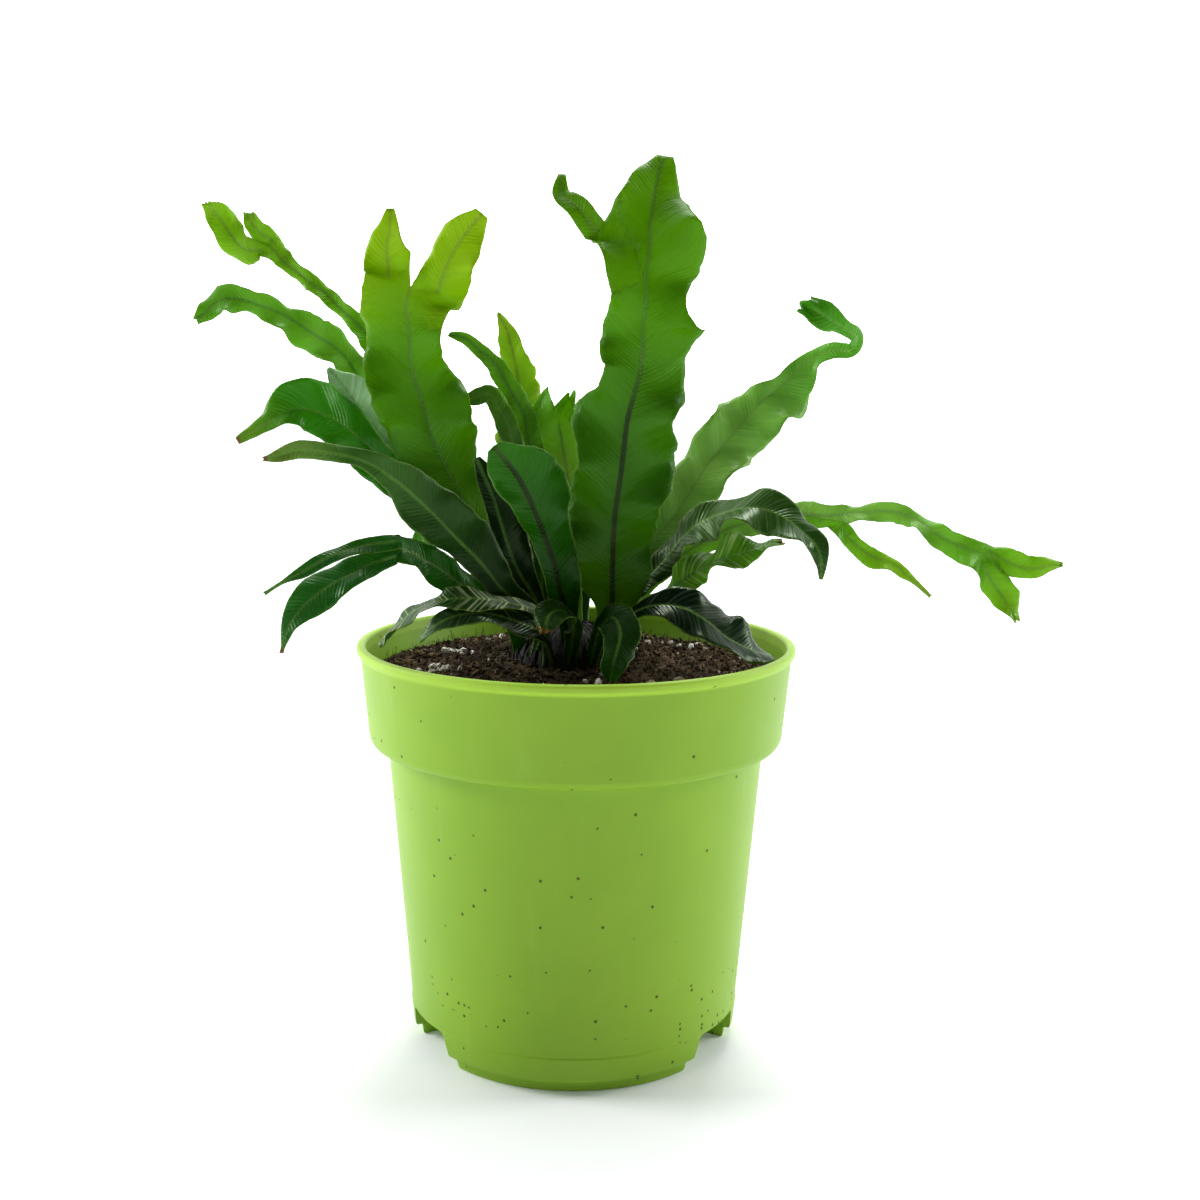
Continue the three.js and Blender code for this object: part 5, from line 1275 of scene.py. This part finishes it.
# %% [markdown]
# ## The crown
# The crown is the short upright stem of the fern. It is wrapped in old leaf bases and black-brown
# papery scales, with some dead pale stubs. It hardly shows between the fronds, so a dome is covered
# with rows of small pointed scales that overlap like roof tiles.

# %% Crown
CROWN_RADIUS, CROWN_BOTTOM, CROWN_TOP, CROWN_DOME = 18.0, 98.0, 117.0, 12.0
SCALE_ROOM = 0.6
SCALE_ROWS = 11


def crown_point(turn, climb):
    """A point on the dome: turn round the axis, and climb from its shoulder at 0 to its top at 1."""
    radius = (CROWN_RADIUS - SCALE_ROOM) * math.cos(climb * math.pi / 2 * 0.94)
    height = CROWN_TOP - CROWN_DOME + (CROWN_DOME - 1.2) * math.sin(climb * math.pi / 2)
    x, y = CROWN_CENTRE
    return np.array([x + radius * math.cos(turn), y + radius * math.sin(turn), height])


def crown_mesh():
    radius = CROWN_RADIUS - SCALE_ROOM
    profile = [(0, CROWN_BOTTOM), (radius, CROWN_BOTTOM), (radius, CROWN_TOP - CROWN_DOME)]
    for n in range(1, SCALE_ROWS + 1):
        x, y, z = crown_point(0, n / SCALE_ROWS) - (*CROWN_CENTRE, 0)
        profile.append((max(x, 0), z))
    profile.append((0, profile[-1][1]))
    mesh = turned("crown_core", profile, 48)
    mesh.transform(Matrix.Translation(Vector((*CROWN_CENTRE, 0)) * MM))
    work = bmesh.new()
    work.from_mesh(mesh)
    for row in range(SCALE_ROWS):
        climb = row / SCALE_ROWS
        number = max(6, round(44 * math.cos(climb * math.pi / 2)))
        for k in range(number):
            turn = math.tau * (k + 0.5 * (row % 2) + draw.uniform(-0.2, 0.2)) / number
            foot = crown_point(turn, climb)
            up = unit(crown_point(turn, min(1, climb + 0.1)) - foot)
            out = unit(foot - (*CROWN_CENTRE, CROWN_TOP - CROWN_DOME - 4))
            side = np.cross(up, out)
            length, width = draw.uniform(2.6, 4.2), draw.uniform(0.5, 0.9)
            tip = foot + up * length + out * draw.uniform(0.3, 1.1)
            middle = foot + up * length * 0.5 + out * 0.55
            wide, waist = side * width, side * width * 0.8
            corners = [foot - wide, foot + wide, middle + waist, tip, middle - waist]
            verts = [work.verts.new(tuple(c * MM)) for c in corners]
            back = [work.verts.new(tuple((c - out * 0.25) * MM)) for c in corners]
            work.faces.new(verts)
            work.faces.new(back[::-1])
            for a in range(5):
                b = (a + 1) % 5
                work.faces.new([verts[b], verts[a], back[a], back[b]])
    return finished(work, "crown_scales")


def scale_material():
    r = Recipe("crown_scales")
    place = r.place()
    patches = r.noise(place, 260.0, 4.0)
    color = r.mix(patches.above(0.4, 0.7), rgb("080604"), rgb("1a120a"))
    relief = r.bump(patches, 0.0002, 0.6)
    return r.done(r.finish(Base_Color=color, Roughness=0.7 + patches * 0.2, Normal=relief))


place_piece(crown_mesh(), "crown", [scale_material()])

# %% [markdown]
# ## Floor and light
# The plant stands on a white sweep in soft daylight from behind and from both sides, with a dim
# room behind the camera. So the pot is brighter at its sides than in the middle, and light shines
# through the leaves. One white world would light everything alike. This one is bright at the back
# and dim at the front, though the camera sees it white all round. Softboxes at the left, at the
# right and overhead add gloss, and a weak one in front keeps the nest from going black.

# %% Floor, world and lights
def floor_material():
    r = Recipe("floor")
    faint = r.noise(r.place(), 3.0, 2.0)
    color = r.mix(faint, rgb("f1f3f6"), rgb("f6f7f9"))
    away = r.node("ShaderNodeVectorMath", {"operation": "LENGTH"}, {0: r.place()}, output="Value")
    glow = r.shade(rgb("f4f6ff"), 0.1 + away.above(0.15, 1.0) * 0.7)
    dull = {"Roughness": 0.7, "Specular_IOR_Level": 0.2}
    return r.done(r.finish(Base_Color=color, Emission_Color=glow, Emission_Strength=1.0, **dull))


FLOOR_HALF = 6.0
floor_mesh = bpy.data.meshes.new("floor")
corners = [(x * FLOOR_HALF, y * FLOOR_HALF, 0) for x, y in ((-1, -1), (1, -1), (1, 1), (-1, 1))]
floor_mesh.from_pydata(corners, [], [[0, 1, 2, 3]])
floor = put("floor", floor_mesh)
floor_mesh.materials.append(floor_material())

SKY_STRENGTH = 1.5
ROOM_STRENGTH = 0.05
LIGHTS_AIM = (0, 0, 0.12)


def studio():
    r = Recipe("studio", bpy.data.worlds.new("studio"))
    direction = r.node("ShaderNodeTexCoord")
    back = r.axis(direction, "Y").above(-0.25, 0.4)
    over_floor = r.axis(direction, "Z").above(-0.1, 0.0)
    strength = ROOM_STRENGTH + back * over_floor * (SKY_STRENGTH - ROOM_STRENGTH)
    strength = strength + r.node("ShaderNodeLightPath", output="Is Camera Ray") * SKY_STRENGTH
    white = r.node("ShaderNodeBackground", {}, {"Color": (1.0, 1.0, 1.0, 1.0), "Strength": strength})
    return r.done(white, "ShaderNodeOutputWorld")


bpy.context.scene.world = studio()


def softbox(name, place, width, watts):
    """A square light that faces the plant."""
    data = bpy.data.lights.new(name, "AREA")
    data.size = width
    data.energy = watts
    aim = Vector(LIGHTS_AIM) - Vector(place)
    turn = aim.to_track_quat("-Z", "Y").to_matrix().to_4x4()
    put(name, data).matrix_world = Matrix.Translation(place) @ turn


softbox("left", (-1.2, 0.1, 0.7), 0.5, 14.0)
softbox("right", (1.3, 0.2, 0.6), 0.5, 10.0)
softbox("top_back", (0.1, 0.6, 1.3), 0.6, 12.0)
softbox("front_fill", (-0.7, -1.1, 1.4), 0.35, 1.7)
bpy.context.scene.view_settings.view_transform = "Standard"
bpy.context.scene.view_settings.look = "None"
